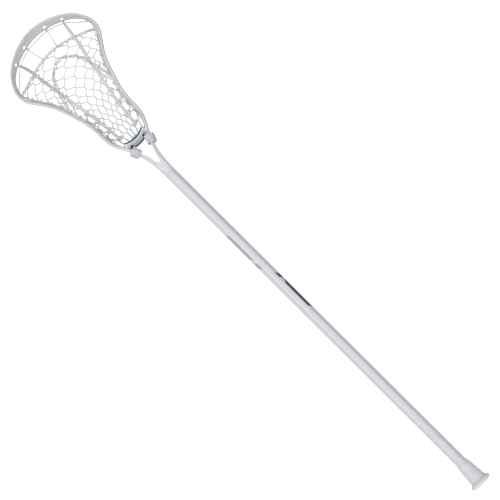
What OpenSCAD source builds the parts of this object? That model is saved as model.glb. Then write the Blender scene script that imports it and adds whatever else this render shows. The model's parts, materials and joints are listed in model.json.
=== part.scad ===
// Lacrosse stick, field player's pattern with a shallow mesh pocket.
// It lies face up: +X runs from the butt to the scoop, +Z is the ball side,
// and the origin is the centre of the flat butt face, on the handle's axis.

/* [Handle] */
// Distance from the butt face to the joint between handle and head
joint_x = 752; // [700:1:770]
// Width of the shaft across its flats, side to side
shaft_w = 21.2; // [20.6:0.1:22]
// Depth of the shaft across its flats, front to back
shaft_d = 24; // [23.4:0.1:24.6]
// Wall thickness of the tube
shaft_wall = 1.7; // [1.4:0.1:2.2]
// Radius of the rounded long edges
shaft_edge_r = 3; // [2:0.5:4]

/* [Butt cap] */
// Radius of the flange at the butt end
cap_flange_r = 20.5; // [16:0.5:22]
// Thickness of the flange
cap_flange_t = 5; // [4:0.5:7]
// Length of the rubber sleeve over the shaft
cap_len = 47; // [40:1:60]
// Wall of the rubber sleeve at its mouth
cap_wall = 1.1; // [0.9:0.1:1.6]

/* [Head] */
// Length of the head from the joint to the tip of the scoop
head_len = 341; // [330:1:350]
// Greatest outside width of the head
head_w = 187; // [180:1:196]
// Radius of the round string holes
string_hole_r = 1.7; // [1.4:0.1:1.9]
// Radius of the eyelets in the scoop
eyelet_r = 2.5; // [2:0.1:2.8]
// Length of the plug that fits inside the shaft
plug_len = 48; // [40:1:60]
// Gap between plug and tube
plug_gap = 0.15; // [0.1:0.05:0.3]
// Stations per control segment of the moulded wall
wall_steps = 3; // [2:1:3]

/* [Base] */
// Radius of the ball side of the base
stop_r = 37.4; // [36.8:0.1:38]
// Radial width of the base
stop_w = 10.6; // [10:0.1:11.2]
// Thickness of the foam on the ball side
pad_t = 2; // [1.5:0.1:2.4]
// How far the foam in the channel stands out past the edge of the base
foam_out = 0.6; // [0.4:0.1:1.6]

/* [Pocket] */
// How far the pocket sags below the rear rails
pocket_sag = 15; // [10:1:20]
// Thickness of the netting
mesh_t = 2; // [1.6:0.1:2.4]
// Distance from the joint to the lower edge of the netting
mesh_low = 95; // [94:1:98]
// Distance from the joint to the top edge of the netting, on the centre line
mesh_high = 290; // [280:1:290]

/* [Strings] */
// Radius of the shooting strings
shooter_r = 1.6; // [1.2:0.1:1.8]
// Radius of the thin cords
cord_r = 1.1; // [0.9:0.1:1.3]
// Width of the flat runners
runner_w = 5.4; // [4.5:0.1:6]
// Thickness of the flat runners
runner_t = 1.4; // [1.2:0.1:1.6]
// Radius of the cord wound round each throat strut
lash_r = 2.4; // [2:0.1:2.6]

/* [Hidden] */
$fn = 48;
e = 0.01;

// Each control row of the moulded wall, from the joint to the tip of the scoop:
// [distance from the joint, outer half width, top of the front rail, bottom of the rear rail, lean inwards, rail thickness, depth of the web recess]
rows = [
    [  8, 10.7, 11.8, -11.8,  0.0, 5.4, 0.0],
    [ 20, 11.2, 12.0, -12.0,  0.0, 5.4, 0.0],
    [ 33, 12.5, 12.2, -12.2,  0.0, 7.0, 0.0],
    [ 48, 15.6, 12.5, -12.6,  0.1, 6.8, 0.0],
    [ 63, 20.8, 12.9, -13.4,  0.5, 6.4, 0.0],
    [ 77, 27.6, 13.2, -16.6,  1.8, 6.0, 0.0],
    [ 90, 35.0, 13.4, -22.4,  3.6, 5.8, 0.3],
    [102, 40.0, 13.2, -27.4,  4.2, 5.4, 0.8],
    [118, 42.6, 12.5, -30.0,  4.4, 5.0, 1.1],
    [140, 43.2, 11.5, -30.8,  4.5, 4.8, 1.2],
    [160, 46.0, 10.7, -30.6,  4.6, 4.8, 1.2],
    [180, 51.8, 10.2, -29.8,  4.8, 4.8, 1.2],
    [202, 58.8, 10.2, -28.2,  5.4, 4.8, 1.2],
    [222, 67.8, 10.8, -26.0,  5.8, 4.8, 1.2],
    [240, 79.8, 11.8, -23.2,  6.4, 4.8, 1.2],
    [254, 89.4, 12.9, -20.4,  7.2, 4.8, 1.3],
    [268, 93.5, 14.2, -17.2,  6.6, 4.6, 1.2],
    [281, 92.6, 15.6, -13.9,  4.4, 4.4, 0.9],
    [294, 87.0, 17.0, -10.6,  3.6, 4.2, 0.6],
    [308, 77.4, 18.4,  -7.2,  5.4, 4.0, 0.5],
    [322, 61.0, 19.8,  -4.0,  8.6, 4.0, 0.4],
    [332, 41.5, 20.8,  -1.7, 10.6, 4.0, 0.4],
    [338.5, 20.5, 21.4, -0.4, 11.9, 4.0, 0.4],
    [341,  0.0, 21.6,   0.0, 12.6, 4.0, 0.4]];
nr = len(rows);

kx = head_len / 341;
ky = head_w / 187;
// The width changes at the corners and not at the throat
function widen(a) = 1 + (ky - 1) * min(1, max(0, (a - 90) / 150));
function mirror_row(r) = [r[0], -r[1], r[2], r[3], r[4], r[5], r[6]];
ctrl = concat(rows, [for (i = [nr - 2:-1:0]) mirror_row(rows[i])]);
nc = len(ctrl);
function cr(p0, p1, p2, p3, t) = 0.5 * ((2 * p1) + (p2 - p0) * t + (2 * p0 - 5 * p1 + 4 * p2 - p3) * t * t + (3 * p1 - p0 - 3 * p2 + p3) * t * t * t);
function at(t) = let (i = min(nc - 2, max(0, floor(t))), f = t - i)
    cr(ctrl[max(0, i - 1)], ctrl[i], ctrl[i + 1], ctrl[min(nc - 1, i + 2)], f);
// Place of the outer edge of the front rail in plan, and the inward normal there
function plan(t) = let (r = at(t)) [joint_x + r[0] * kx, -r[1] * widen(r[0])];
function inward(t) = let (d = plan(min(nc - 1, t + 0.05)) - plan(max(0, t - 0.05)), m = norm(d)) [d[1] / m, -d[0] / m] * -1;
function cs(t, n, z) = let (p = plan(t), q = inward(t)) [p[0] + q[0] * n, p[1] + q[1] * n, z];

// Cross-section of the wall: two rails and a thinner web that leans inwards
function section(t) = let (r = at(t), zt = r[2], zb = r[3], ln = r[4], th = r[5], k = r[6], h = zt - zb,
    tb = th * 0.9, ra = 5.2 / h, rb = 1 - 5.2 / h, c = 1.2)
    [cs(t, c, zt), cs(t, 0, zt - c), cs(t, ln * ra, zt - 5.2), cs(t, ln * (ra + 0.06) + k, zt - 7), cs(t, ln * (rb - 0.06) + k, zb + 7),
     cs(t, ln * rb, zb + 5.2), cs(t, ln, zb + c), cs(t, ln + c, zb), cs(t, ln + tb - c, zb), cs(t, ln + tb, zb + c),
     cs(t, ln * rb + tb, zb + 5.2), cs(t, ln * (rb - 0.06) + tb - k, zb + 7), cs(t, ln * (ra + 0.06) + th - k, zt - 7),
     cs(t, ln * ra + th, zt - 5.2), cs(t, th, zt - c), cs(t, th - c, zt)];

function reversed(l) = [for (i = [len(l) - 1:-1:0]) l[i]];
// Solid through a list of closed rings of equal length, each clockwise seen along the path
module loft(rings) {
    n = len(rings); k = len(rings[0]);
    pts = [for (r = rings) for (p = r) p];
    faces = concat(
        [for (i = [0:n - 2]) for (j = [0:k - 1]) let (a = i * k + j, b = i * k + (j + 1) % k) [a, b, b + k]],
        [for (i = [0:n - 2]) for (j = [0:k - 1]) let (a = i * k + j, b = i * k + (j + 1) % k) [a, b + k, a + k]],
        [[for (j = [k - 1:-1:0]) j]],
        [[for (j = [0:k - 1]) (n - 1) * k + j]]);
    polyhedron(points = pts, faces = faces, convexity = 10);
}

function unit(v) = v / norm(v);
// Cord of radius r through a list of points, with k sides
module cord(path, r, k = 6) {
    n = len(path);
    loft([for (i = [0:n - 1]) let (d = unit(path[min(n - 1, i + 1)] - path[max(0, i - 1)]),
        s0 = unit(cross(d, abs(d[2]) < 0.9 ? [0, 0, 1] : [0, 1, 0])), s1 = cross(d, s0))
        [for (j = [0:k - 1]) path[i] + r * (cos(360 * j / k) * s1 + sin(360 * j / k) * s0)]]);
}
// Flat strap of width w and thickness t along the given path, facing the given up vectors
module strap(path, ups, w, t) {
    n = len(path);
    loft([for (i = [0:n - 1]) let (d = unit(path[min(n - 1, i + 1)] - path[max(0, i - 1)]),
        s0 = unit(cross(d, ups[i])), s1 = cross(s0, d))
        [path[i] + s0 * w / 2 - s1 * t / 2, path[i] + s0 * w / 2 + s1 * t / 2, path[i] - s0 * w / 2 + s1 * t / 2, path[i] - s0 * w / 2 - s1 * t / 2]]);
}
// Smooth path of n points through a few control points
function smooth_path(c, n) = [for (i = [0:n]) let (m = len(c), t = i * (m - 1) / n, j = min(m - 2, floor(t)), f = t - j)
    cr(c[max(0, j - 1)], c[j], c[j + 1], c[min(m - 1, j + 2)], f)];

// Octagon with rounded corners, w by d, as a closed list of points in the YZ plane of the stick
function oct_pts(w, d, r) = let (c = 0.293 * min(w, d),
    v = [[w / 2, d / 2 - c], [w / 2 - c, d / 2], [-w / 2 + c, d / 2], [-w / 2, d / 2 - c], [-w / 2, -d / 2 + c], [-w / 2 + c, -d / 2], [w / 2 - c, -d / 2], [w / 2, -d / 2 + c]])
    [for (i = [0:7]) for (f = [-1, 0, 1]) let (p = v[i], a = unit(v[(i + 7) % 8] - p), b = unit(v[(i + 1) % 8] - p), g = r * tan(22.5))
        f == -1 ? p + a * g : f == 1 ? p + b * g : p + (a + b) * g * 0.33];
module along_x(x0, x1) translate([x0, 0, 0]) rotate([90, 0, 90]) linear_extrude(x1 - x0) children();
module octagon(w, d, r) polygon(oct_pts(w, d, r));

screw_x = joint_x - 22;

module handle_shaft() color("aliceblue") difference() {
    along_x(cap_flange_t - 1, joint_x) octagon(shaft_w, shaft_d, shaft_edge_r);
    along_x(cap_flange_t - 2, joint_x + 1) octagon(shaft_w - 2 * shaft_wall, shaft_d - 2 * shaft_wall, shaft_edge_r - shaft_wall / 2);
    translate([screw_x, 0, -shaft_d]) cylinder(r = 2.1, h = shaft_d - 4, $fn = 32);
}

module head_screw() color("silver") translate([screw_x, 0, -shaft_d / 2 - 2.4]) difference() {
    union() {
        rotate_extrude() polygon([[0, 0], [3.1, 0], [4.1, 1], [4.1, 2.3], [1.9, 2.3], [1.9, 14], [1.2, 16], [0, 17]]);
    }
    for (q = [0, 90]) rotate([0, 0, q]) translate([-2.1, -0.45, -e]) cube([4.2, 0.9, 1.3]);
}

// Base of the head: a channel curved to the ball, closed on the ball side and open towards the butt
stop_c = joint_x + 83.5 + 36.3;
module stop_sector(r0, r1, z0, z1, half) translate([stop_c, 0, z0]) intersection() {
    difference() { cylinder(r = r1, h = z1 - z0, $fn = 128); translate([0, 0, -1]) cylinder(r = r0, h = z1 - z0 + 2, $fn = 128); }
    translate([0, 0, -1]) linear_extrude(z1 - z0 + 2) polygon([[0, 0], [-70 * cos(half), 70 * sin(half)], [-90, 0], [-70 * cos(half), -70 * sin(half)]]);
}
base_top = 13; base_bot = -17;

// A slot through the wall at spline place t, l long and h high, centred at height z on the wall's middle and tipped down outwards
module slot(t, l, h, z, tip) { r = at(t); n0 = r[4] * (r[2] - z) / (r[2] - r[3]) + r[5] / 2; p = plan(t); q = inward(t);
  translate([p[0] + q[0] * n0, p[1] + q[1] * n0, z]) rotate([0, 0, atan2(q[1], q[0])]) rotate([0, -tip, 0]) {
    translate([-13, -(l - h) / 2, -h / 2]) cube([26, l - h, h]);
    for (s = [-1, 1]) translate([-13, s * (l - h) / 2, 0]) rotate([0, 90, 0]) cylinder(d = h, h = 26, $fn = 32);
} }
module wall_hole(t, z, r = string_hole_r) { p = plan(t); q = inward(t); translate([p[0], p[1], z]) rotate([0, 0, atan2(q[1], q[0])])
    translate([-4, 0, 0]) rotate([0, 90, 0]) cylinder(r = r, h = 27, $fn = 24); }
// Windows: [place, length, height, centre height, tip]
windows = [[8.35, 19, 11, -8.6, 0], [9.7, 25, 15, -9.6, 0], [11.1, 24, 15, -9.8, 0], [12.45, 22, 13, -8.6, 0], [13.75, 19, 10.5, -6.8, 0], [15.35, 19, 8, -4.5, 38]];
rail_holes = [7.6, 8.2, 8.9, 9.5, 10.2, 10.8, 11.6, 12.3, 13.1, 13.9, 14.8];
// Eyelets of the scoop: [place, distance in from the inner edge]
scoop_holes = [[20.07, 4.6], [21.69, 5]];

module head_frame() color("ghostwhite") difference() {
    union() {
        loft([for (i = [0:(nc - 1) * wall_steps]) reversed(section(i / wall_steps))]);
        difference() {
            along_x(joint_x, joint_x + 29) octagon(shaft_w + 0.6, shaft_d, shaft_edge_r);
            translate([joint_x + 31.5, 0, -20]) cylinder(r = 4.6, h = 40, $fn = 48);
            translate([joint_x + 27, 0, -20]) rotate([0, 0, -11]) translate([0, -30, 0]) cube([40, 20, 40]);
            translate([joint_x + 27, 0, -20]) rotate([0, 0, 11]) translate([0, 10, 0]) cube([40, 20, 40]);
        }
        along_x(joint_x - plug_len, joint_x + 1) octagon(shaft_w - 2 * shaft_wall - 2 * plug_gap, shaft_d - 2 * shaft_wall - 2 * plug_gap, shaft_edge_r - shaft_wall / 2);
        difference() {
            union() {
                stop_sector(stop_r, stop_r + stop_w, base_top - 3.6, base_top, 33);
                stop_sector(stop_r, stop_r + stop_w, base_bot, base_bot + 3.6, 33);
            }
            for (s = [-1, 1]) lash_place(s) cube([8.6 + 4 * lash_r + 1, 60, 7.52 * lash_r + 1.6], center = true);
            for (s = [-1, 1]) translate([stop_c, 0, base_top - 5]) rotate([0, 0, s * 18.6]) translate([-stop_r - stop_w + 1.6, 0, 0]) cylinder(r = 2.3, h = 10, $fn = 32);
        }
        stop_sector(stop_r, stop_r + 2.6, base_bot, base_top, 37);
    }
    translate([screw_x, 0, -shaft_d]) cylinder(r = 2, h = shaft_d + 6, $fn = 32);
    for (w = windows) for (m = [0, 1]) slot(m == 0 ? w[0] : nc - 1 - w[0], w[1], w[2], w[3], w[4]);
    for (t = rail_holes) for (m = [0, 1]) wall_hole(m == 0 ? t : nc - 1 - t, at(t)[3] + 3.2);
    for (s = scoop_holes) for (m = [0, 1]) scoop_hole(m == 0 ? s[0] : nc - 1 - s[0], s[1]);
}
// An upright eyelet through the leaning wall of the scoop, d from its inner edge
module scoop_hole(t, d) { r = at(t); p = plan(t); q = inward(t); n = r[4] + r[5] - d;
    translate([p[0] + q[0] * n, p[1] + q[1] * n, -8]) cylinder(r = eyelet_r, h = 34, $fn = 32); }

module ball_stop_pad() color("midnightblue") {
    stop_sector(stop_r - 0.2 - pad_t, stop_r - 0.2, base_bot + 1, base_top - 0.4, 33);
}

// Foam block in the channel of the base, showing along its edge and at two notches
module base_foam() color("midnightblue") difference() {
    stop_sector(stop_r + 3, stop_r + stop_w + foam_out, base_bot + 4, base_top - 4, 20.5);
    for (s = [-1, 1]) lash_place(s) cube([8.6 + 4 * lash_r + 1, 60, 7.52 * lash_r + 1.6], center = true);
}

// Rubber cap: octagonal mouth that swells to a round flange
function mix(a, b, f) = a + (b - a) * f;
cap_prof = [[cap_flange_t - 1, 15.9, 1], [10, 15.2, 1], [20, 14.4, 0.8], [30, 13.7, 0.45], [39, 13.0, 0.15], [cap_len, shaft_w / 2 + cap_wall, 0]];
module end_cap() color("whitesmoke") difference() {
    union() {
        rotate([0, 90, 0]) rotate_extrude($fn = 96) polygon([[0, 0], [cap_flange_r - 1.2, 0], [cap_flange_r, 1.2], [cap_flange_r, cap_flange_t - 1.2], [cap_flange_r - 1.4, cap_flange_t - 0.2], [16, cap_flange_t + 1], [0, cap_flange_t + 1]]);
        loft([for (p = smooth_path(cap_prof, 10)) let (o = reversed(oct_pts(2 * p[1], 2 * p[1] + shaft_d - shaft_w, shaft_edge_r + 1)))
            [for (q = o) let (m = mix(q, q / norm(q) * p[1], p[2] > 1 ? 1 : p[2] < 0 ? 0 : p[2])) [p[0], m[0], m[1]]]]);
    }
    along_x(cap_flange_t - 1.2, cap_len + 1) octagon(shaft_w + 0.3, shaft_d + 0.3, shaft_edge_r);
}

// Netting: a sheet slung from the rear rails
side_tab = [for (i = [4 * 3:(nr - 1) * 3]) let (r = at(i / 3)) [r[0], r[1] * widen(r[0]) - r[4] - 0.9 * r[5]]];
rail_tab = [for (i = [4 * 3:(nr - 1) * 3]) let (r = at(i / 3)) [r[0], r[3]]];
function half_in(a) = lookup(a, side_tab);
function rail_z(a) = lookup(a, rail_tab);
function sag(a) = pocket_sag * (a < 135 ? 0.35 + 0.65 * sin(90 * (a - 92) / 43) : pow(cos(90 * (a - 135) / 205), 1.3));
// Height of the ball side of the netting at distance a from the joint and half-width fraction q
function net_z(a, q) = rail_z(a) + 3.4 - sag(a) * (1 - pow(abs(q), 2.6));
function net(a, y, up = 0) = let (h = half_in(a)) [joint_x + a * kx, y, net_z(a, max(-1, min(1, y / h))) + up];
function net_top(q) = mesh_high - 19 * q * q;
function net_side(a) = half_in(a) - 2.4;
function net_low(q) = mesh_low + 14 * pow(abs(q), 3);

module mesh_pocket() {
    nu = 22; nv = 14;
    function g(i, j, up) = let (q = 2 * j / nv - 1, a0 = net_low(q), a1 = net_top(q), a = a0 + (a1 - a0) * i / nu, y = q * net_side(a)) net(a, y, up);
    top = [for (i = [0:nu]) for (j = [0:nv]) g(i, j, 0)];
    bot = [for (i = [0:nu]) for (j = [0:nv]) g(i, j, -mesh_t)];
    m = (nu + 1) * (nv + 1);
    function id(i, j) = i * (nv + 1) + j;
    faces = concat(
        [for (i = [0:nu - 1]) for (j = [0:nv - 1]) [id(i, j), id(i, j + 1), id(i + 1, j + 1)]],
        [for (i = [0:nu - 1]) for (j = [0:nv - 1]) [id(i, j), id(i + 1, j + 1), id(i + 1, j)]],
        [for (i = [0:nu - 1]) for (j = [0:nv - 1]) [m + id(i, j), m + id(i + 1, j + 1), m + id(i, j + 1)]],
        [for (i = [0:nu - 1]) for (j = [0:nv - 1]) [m + id(i, j), m + id(i + 1, j), m + id(i + 1, j + 1)]],
        [for (j = [0:nv - 1]) [id(0, j), m + id(0, j), m + id(0, j + 1)]],
        [for (j = [0:nv - 1]) [id(0, j), m + id(0, j + 1), id(0, j + 1)]],
        [for (j = [0:nv - 1]) [id(nu, j), m + id(nu, j + 1), m + id(nu, j)]],
        [for (j = [0:nv - 1]) [id(nu, j), id(nu, j + 1), m + id(nu, j + 1)]],
        [for (i = [0:nu - 1]) [id(i, 0), m + id(i + 1, 0), m + id(i, 0)]],
        [for (i = [0:nu - 1]) [id(i, 0), id(i + 1, 0), m + id(i + 1, 0)]],
        [for (i = [0:nu - 1]) [id(i, nv), m + id(i, nv), m + id(i + 1, nv)]],
        [for (i = [0:nu - 1]) [id(i, nv), m + id(i + 1, nv), id(i + 1, nv)]]);
    color("ivory") polyhedron(points = concat(top, bot), faces = faces, convexity = 6);
}

// Left is +Y, right is -Y, seen from behind the butt with the ball side up
function side(p, s) = [p[0], s * p[1], p[2]];
// A cord over the netting given by [distance from the joint, sideways] controls
function over_net(c, n, up) = [for (p = smooth_path(c, n)) net(p[0], p[1], up)];
// Height of the open space between netting and scoop
function lip(a) = lookup(a, [[270, -8.6], [300, 1.2], [330, 7.6]]);

module top_string() color("white") {
    c = [[282, 81], [308, 54], [318.5, 24], [319.3, 0], [318.5, -24], [308, -54], [282, -81]];
    cord([for (p = c) [joint_x + p[0] * kx, p[1] * ky, lip(p[0])]], cord_r, 8);
}
module hanger(s) color("white") cord([for (p = smooth_path([[313, 23], [306, 21.2], [299, 19.4], [294.5, 18.2]], 6)) [joint_x + p[0] * kx, s * p[1], lip(p[0]) - 2 * cord_r - 0.8]], cord_r, 8);
module left_hanger_cord() hanger(1);
module right_hanger_cord() hanger(-1);

up_shoot = [[271, 80.5], [277, 66], [283, 46], [287.5, 24], [289, 0], [287.5, -24], [283, -46], [277, -66], [271, -80.5]];
module upper_shooting_string() color("white") cord(over_net(up_shoot, 28, runner_t + shooter_r + 1.6), shooter_r, 8);
lo_shoot = [[196, 41.5], [212, 40], [228, 37], [242, 33], [253, 27.5], [261, 19], [266, 9], [267.5, 0], [266, -9], [261, -19], [253, -27.5], [242, -33], [228, -37], [212, -40], [196, -41.5]];
module lower_shooting_string() color("white") cord(over_net(lo_shoot, 36, runner_t + shooter_r + 1.6), shooter_r, 8);

run = [[309.5, 50.8], [290, 46.8], [268, 42.6], [238, 37.4], [203, 32], [163, 25], [128, 20.6], [100, 17.6]];
function run_up(p, s) = let (a = min(p[0], 282), dz = net(a, p[1] + 1)[2] - net(a, p[1] - 1)[2]) unit([0, -s * dz / 2, 1]);
function run_z(p) = p[0] > 283 ? (lip(p[0]) - 4.2) * ((p[0] - 283) / 28) + net_z(283, p[1] / half_in(283)) * (1 - (p[0] - 283) / 28) : net_z(p[0], p[1] / half_in(p[0]));
module runner(s) color("lavender") let (c = smooth_path(run, 34)) strap([for (p = c) [joint_x + p[0] * kx, s * p[1], run_z(p) + runner_t / 2 + 1]], [for (p = c) run_up(p, s)], runner_w, runner_t);
module left_runner() runner(1);
module right_runner() runner(-1);

module sidewall_cord(s) color("white") cord([for (i = [0:30]) let (a = 104 + i * (262 - 104) / 30) [joint_x + a * kx, s * (half_in(a) - 1.6 - cord_r), rail_z(a) + 3.4 + cord_r + 0.7]], cord_r, 6);
module left_sidewall_string() sidewall_cord(1);
module right_sidewall_string() sidewall_cord(-1);

module bottom_string() color("white") cord([for (p = smooth_path([[80, 21, -19.6], [88, 15, -23], [91.2, 7, -25.4], [91.6, 0, -26], [91.2, -7, -25.4], [88, -15, -23], [80, -21, -19.6]], 18)) [joint_x + p[0] * kx, p[1], p[2]]], cord_r, 8);

// Cord wound round a throat strut: rounded rings side by side
lash_t = 4.05;
module ring2d(w, h, r) difference() {
    rounded(w + 2 * r, h + 2 * r, r + 1.2);
    rounded(w, h, 1.2);
}
module rounded(w, h, r) union() {
    square([w, h - 2 * r], center = true); square([w - 2 * r, h], center = true);
    for (x = [-1, 1]) for (y = [-1, 1]) translate([x * (w / 2 - r), y * (h / 2 - r)]) circle(r = r, $fn = 24);
}
module lash_place(s) {
    t = nc - 1 - lash_t; p = plan(t); q = inward(t); r = at(t);
    c = [p[0] + q[0] * r[5] / 2, p[1] + q[1] * r[5] / 2, (r[2] + r[3]) / 2];
    mirror([0, s < 0 ? 1 : 0, 0]) translate(c) rotate([0, 0, atan2(q[1], q[0])]) rotate([90, 0, 0]) children();
}
module lashing(s) color("white") {
    t = nc - 1 - lash_t; r = at(t);
    lash_place(s)
        union() for (k = [0:3]) translate([0, 0, (k - 1.5) * 2 * lash_r * 0.94 - lash_r]) linear_extrude(2 * lash_r) ring2d(r[5] + 2.6, r[2] - r[3] + 4.6, 2 * lash_r * (k == 1 || k == 2 ? 1 : 0.86));
}
module left_throat_lashing() lashing(1);
module right_throat_lashing() lashing(-1);

handle_shaft();
head_frame();
ball_stop_pad();
base_foam();
head_screw();
end_cap();
mesh_pocket();
top_string();
left_hanger_cord();
right_hanger_cord();
upper_shooting_string();
lower_shooting_string();
left_runner();
right_runner();
left_sidewall_string();
right_sidewall_string();
bottom_string();
left_throat_lashing();
right_throat_lashing();
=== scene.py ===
import json
import math

import bmesh
import bpy
import numpy as np
from mathutils import Matrix, Vector

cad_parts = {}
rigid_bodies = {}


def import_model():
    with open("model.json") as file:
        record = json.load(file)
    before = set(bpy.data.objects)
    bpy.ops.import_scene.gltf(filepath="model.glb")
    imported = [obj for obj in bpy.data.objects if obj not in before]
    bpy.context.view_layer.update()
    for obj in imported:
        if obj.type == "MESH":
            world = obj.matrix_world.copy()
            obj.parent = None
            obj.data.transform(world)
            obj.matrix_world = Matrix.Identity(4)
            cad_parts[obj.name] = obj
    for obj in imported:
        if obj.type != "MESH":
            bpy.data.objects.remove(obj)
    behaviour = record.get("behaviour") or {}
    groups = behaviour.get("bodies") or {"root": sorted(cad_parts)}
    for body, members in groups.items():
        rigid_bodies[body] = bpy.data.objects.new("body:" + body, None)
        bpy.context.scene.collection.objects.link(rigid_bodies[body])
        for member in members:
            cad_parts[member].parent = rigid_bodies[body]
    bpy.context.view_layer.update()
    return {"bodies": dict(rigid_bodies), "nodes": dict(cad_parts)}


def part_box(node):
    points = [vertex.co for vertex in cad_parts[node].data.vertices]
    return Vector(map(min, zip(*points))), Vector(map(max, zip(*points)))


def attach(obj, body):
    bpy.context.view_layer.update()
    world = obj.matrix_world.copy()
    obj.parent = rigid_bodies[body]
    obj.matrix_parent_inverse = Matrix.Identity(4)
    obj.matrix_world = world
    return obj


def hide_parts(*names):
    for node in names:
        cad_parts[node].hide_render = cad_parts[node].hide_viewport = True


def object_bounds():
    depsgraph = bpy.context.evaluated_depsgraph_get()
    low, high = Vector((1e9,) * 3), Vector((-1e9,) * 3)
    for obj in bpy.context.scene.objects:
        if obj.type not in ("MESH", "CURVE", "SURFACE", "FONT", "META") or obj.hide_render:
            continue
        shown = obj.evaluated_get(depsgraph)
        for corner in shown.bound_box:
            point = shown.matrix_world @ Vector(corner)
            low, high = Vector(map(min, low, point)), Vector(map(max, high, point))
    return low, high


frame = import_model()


NODES = frame["nodes"]
BODY = sorted(frame["bodies"])[0]
RNG = np.random.default_rng(7)
STOP_C_M = (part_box("handle_shaft")[1].x * 1000.0 + 83.5 + 36.3) / 1000.0
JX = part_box("handle_shaft")[1].x * 1000.0  # joint between handle and head, mm

# ------------------------------------------------------------------ head curve (mm), the same construction as the CAD
ROWS = np.array([
    [8, 10.7, 11.8, -11.8, 0.0, 5.4, 0.0], [20, 11.2, 12.0, -12.0, 0.0, 6.6, 0.0], [33, 12.5, 12.2, -12.2, 0.0, 8.2, 0.0],
    [48, 15.6, 12.5, -12.6, 0.1, 7.4, 0.0], [63, 20.8, 12.9, -13.4, 0.5, 6.6, 0.0], [77, 27.6, 13.2, -16.6, 1.8, 6.0, 0.0],
    [90, 35.0, 13.4, -22.4, 3.6, 5.8, 0.3], [102, 40.0, 13.2, -27.4, 4.2, 5.4, 0.8], [118, 42.6, 12.5, -30.0, 4.4, 5.0, 1.1],
    [140, 43.2, 11.5, -30.8, 4.5, 4.8, 1.2], [160, 46.0, 10.7, -30.6, 4.6, 4.8, 1.2], [180, 51.8, 10.2, -29.8, 4.8, 4.8, 1.2],
    [202, 58.8, 10.2, -28.2, 5.4, 4.8, 1.2], [222, 67.8, 10.8, -26.0, 5.8, 4.8, 1.2], [240, 79.8, 11.8, -23.2, 6.4, 4.8, 1.2],
    [254, 89.4, 12.9, -20.4, 7.2, 4.8, 1.3], [268, 93.5, 14.2, -17.2, 6.6, 4.6, 1.2], [281, 92.6, 15.6, -13.9, 4.4, 4.4, 0.9],
    [294, 87.0, 17.0, -10.6, 3.6, 4.2, 0.6], [308, 77.4, 18.4, -7.2, 5.4, 4.0, 0.5], [322, 61.0, 19.8, -4.0, 8.6, 4.0, 0.4],
    [332, 41.5, 20.8, -1.7, 10.6, 4.0, 0.4], [338.5, 20.5, 21.4, -0.4, 11.9, 4.0, 0.4], [341, 0.0, 21.6, 0.0, 12.6, 4.0, 0.4]])
CT = np.vstack([ROWS, ROWS[:-1][::-1] * np.array([1, -1, 1, 1, 1, 1, 1.0])])
NC = len(CT)


def spline(P, t):
    P = np.asarray(P, float)
    t = np.atleast_1d(np.asarray(t, float))
    i = np.clip(np.floor(t).astype(int), 0, len(P) - 2)
    f = (t - i)[:, None]
    p0, p1, p2, p3 = P[np.clip(i - 1, 0, len(P) - 1)], P[i], P[i + 1], P[np.clip(i + 2, 0, len(P) - 1)]
    return 0.5 * (2 * p1 + (p2 - p0) * f + (2 * p0 - 5 * p1 + 4 * p2 - p3) * f * f + (3 * p1 - p0 - 3 * p2 + p3) * f ** 3)


def at(t):
    return spline(CT, t)


def plan(t):
    r = at(t)
    return np.stack([JX + r[:, 0], -r[:, 1]], 1)


def inward(t):
    t = np.atleast_1d(np.asarray(t, float))
    d = plan(np.clip(t + 0.05, 0, NC - 1)) - plan(np.clip(t - 0.05, 0, NC - 1))
    d /= np.linalg.norm(d, axis=1)[:, None]
    return np.stack([-d[:, 1], d[:, 0]], 1)


def wall_point(t, n, z):
    """Point on the head wall: spline place t, n mm inwards from the outer front edge, height z."""
    p, q = plan(t), inward(t)
    n = np.atleast_1d(n).astype(float)
    z = np.atleast_1d(z).astype(float)
    return np.stack([p[:, 0] + q[:, 0] * n, p[:, 1] + q[:, 1] * n, np.broadcast_to(z, n.shape)], 1)


def sections(t):
    """The wall's 16-point section at each t, as (n inwards, z)."""
    r = at(t)
    a, zt, zb, ln, th, k = r[:, 0], r[:, 2], r[:, 3], r[:, 4], r[:, 5], r[:, 6]
    h = zt - zb
    tb = th * 0.9
    ra, rb = 5.2 / h, 1 - 5.2 / h
    cz = np.interp(a, [0, 22, 56, 110, 300, 341], [5.6, 5.2, 4.4, 5.4, 5.4, 3.4])
    cn = np.minimum(cz, th * 0.60)
    c = 1.25
    cb = np.interp(a, [0, 22, 56], [5.6, 5.2, 1.6])
    cbn = np.minimum(cb, th * 0.7)
    hr = np.maximum(5.2, cz + 0.4)
    hb = np.maximum(5.2, cb + 0.4)
    pts = [(cn, zt), (0 * a, zt - cz), (ln * ra, zt - hr), (ln * (ra + 0.06) + k, zt - hr - 1.8), (ln * (rb - 0.06) + k, zb + hb + 1.8),
           (ln * rb, zb + hb), (ln, zb + cb), (ln + cbn, zb), (ln + tb - c, zb), (ln + tb, zb + c),
           (ln * rb + tb, zb + hb), (ln * (rb - 0.06) + tb - k, zb + hb + 1.8), (ln * (ra + 0.06) + th - k, zt - hr - 1.8),
           (ln * ra + th, zt - hr), (th, zt - c), (th - c * (cn < th - c) , zt)]
    return np.stack([np.stack([x, y], 1) for x, y in pts], 1)


def chaikin(R):
    N = np.roll(R, -1, axis=1)
    return np.stack([0.75 * R + 0.25 * N, 0.25 * R + 0.75 * N], 2).reshape(R.shape[0], -1, R.shape[2])


# ------------------------------------------------------------------ netting surface
_tt = np.linspace(4, len(ROWS) - 1, 400)
_r = at(_tt)
SIDE_A, SIDE_W, SIDE_Z = _r[:, 0], _r[:, 1] - _r[:, 4] - 0.9 * _r[:, 5], _r[:, 3]
NET_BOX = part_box("mesh_pocket")
SAG = 15.0


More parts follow.
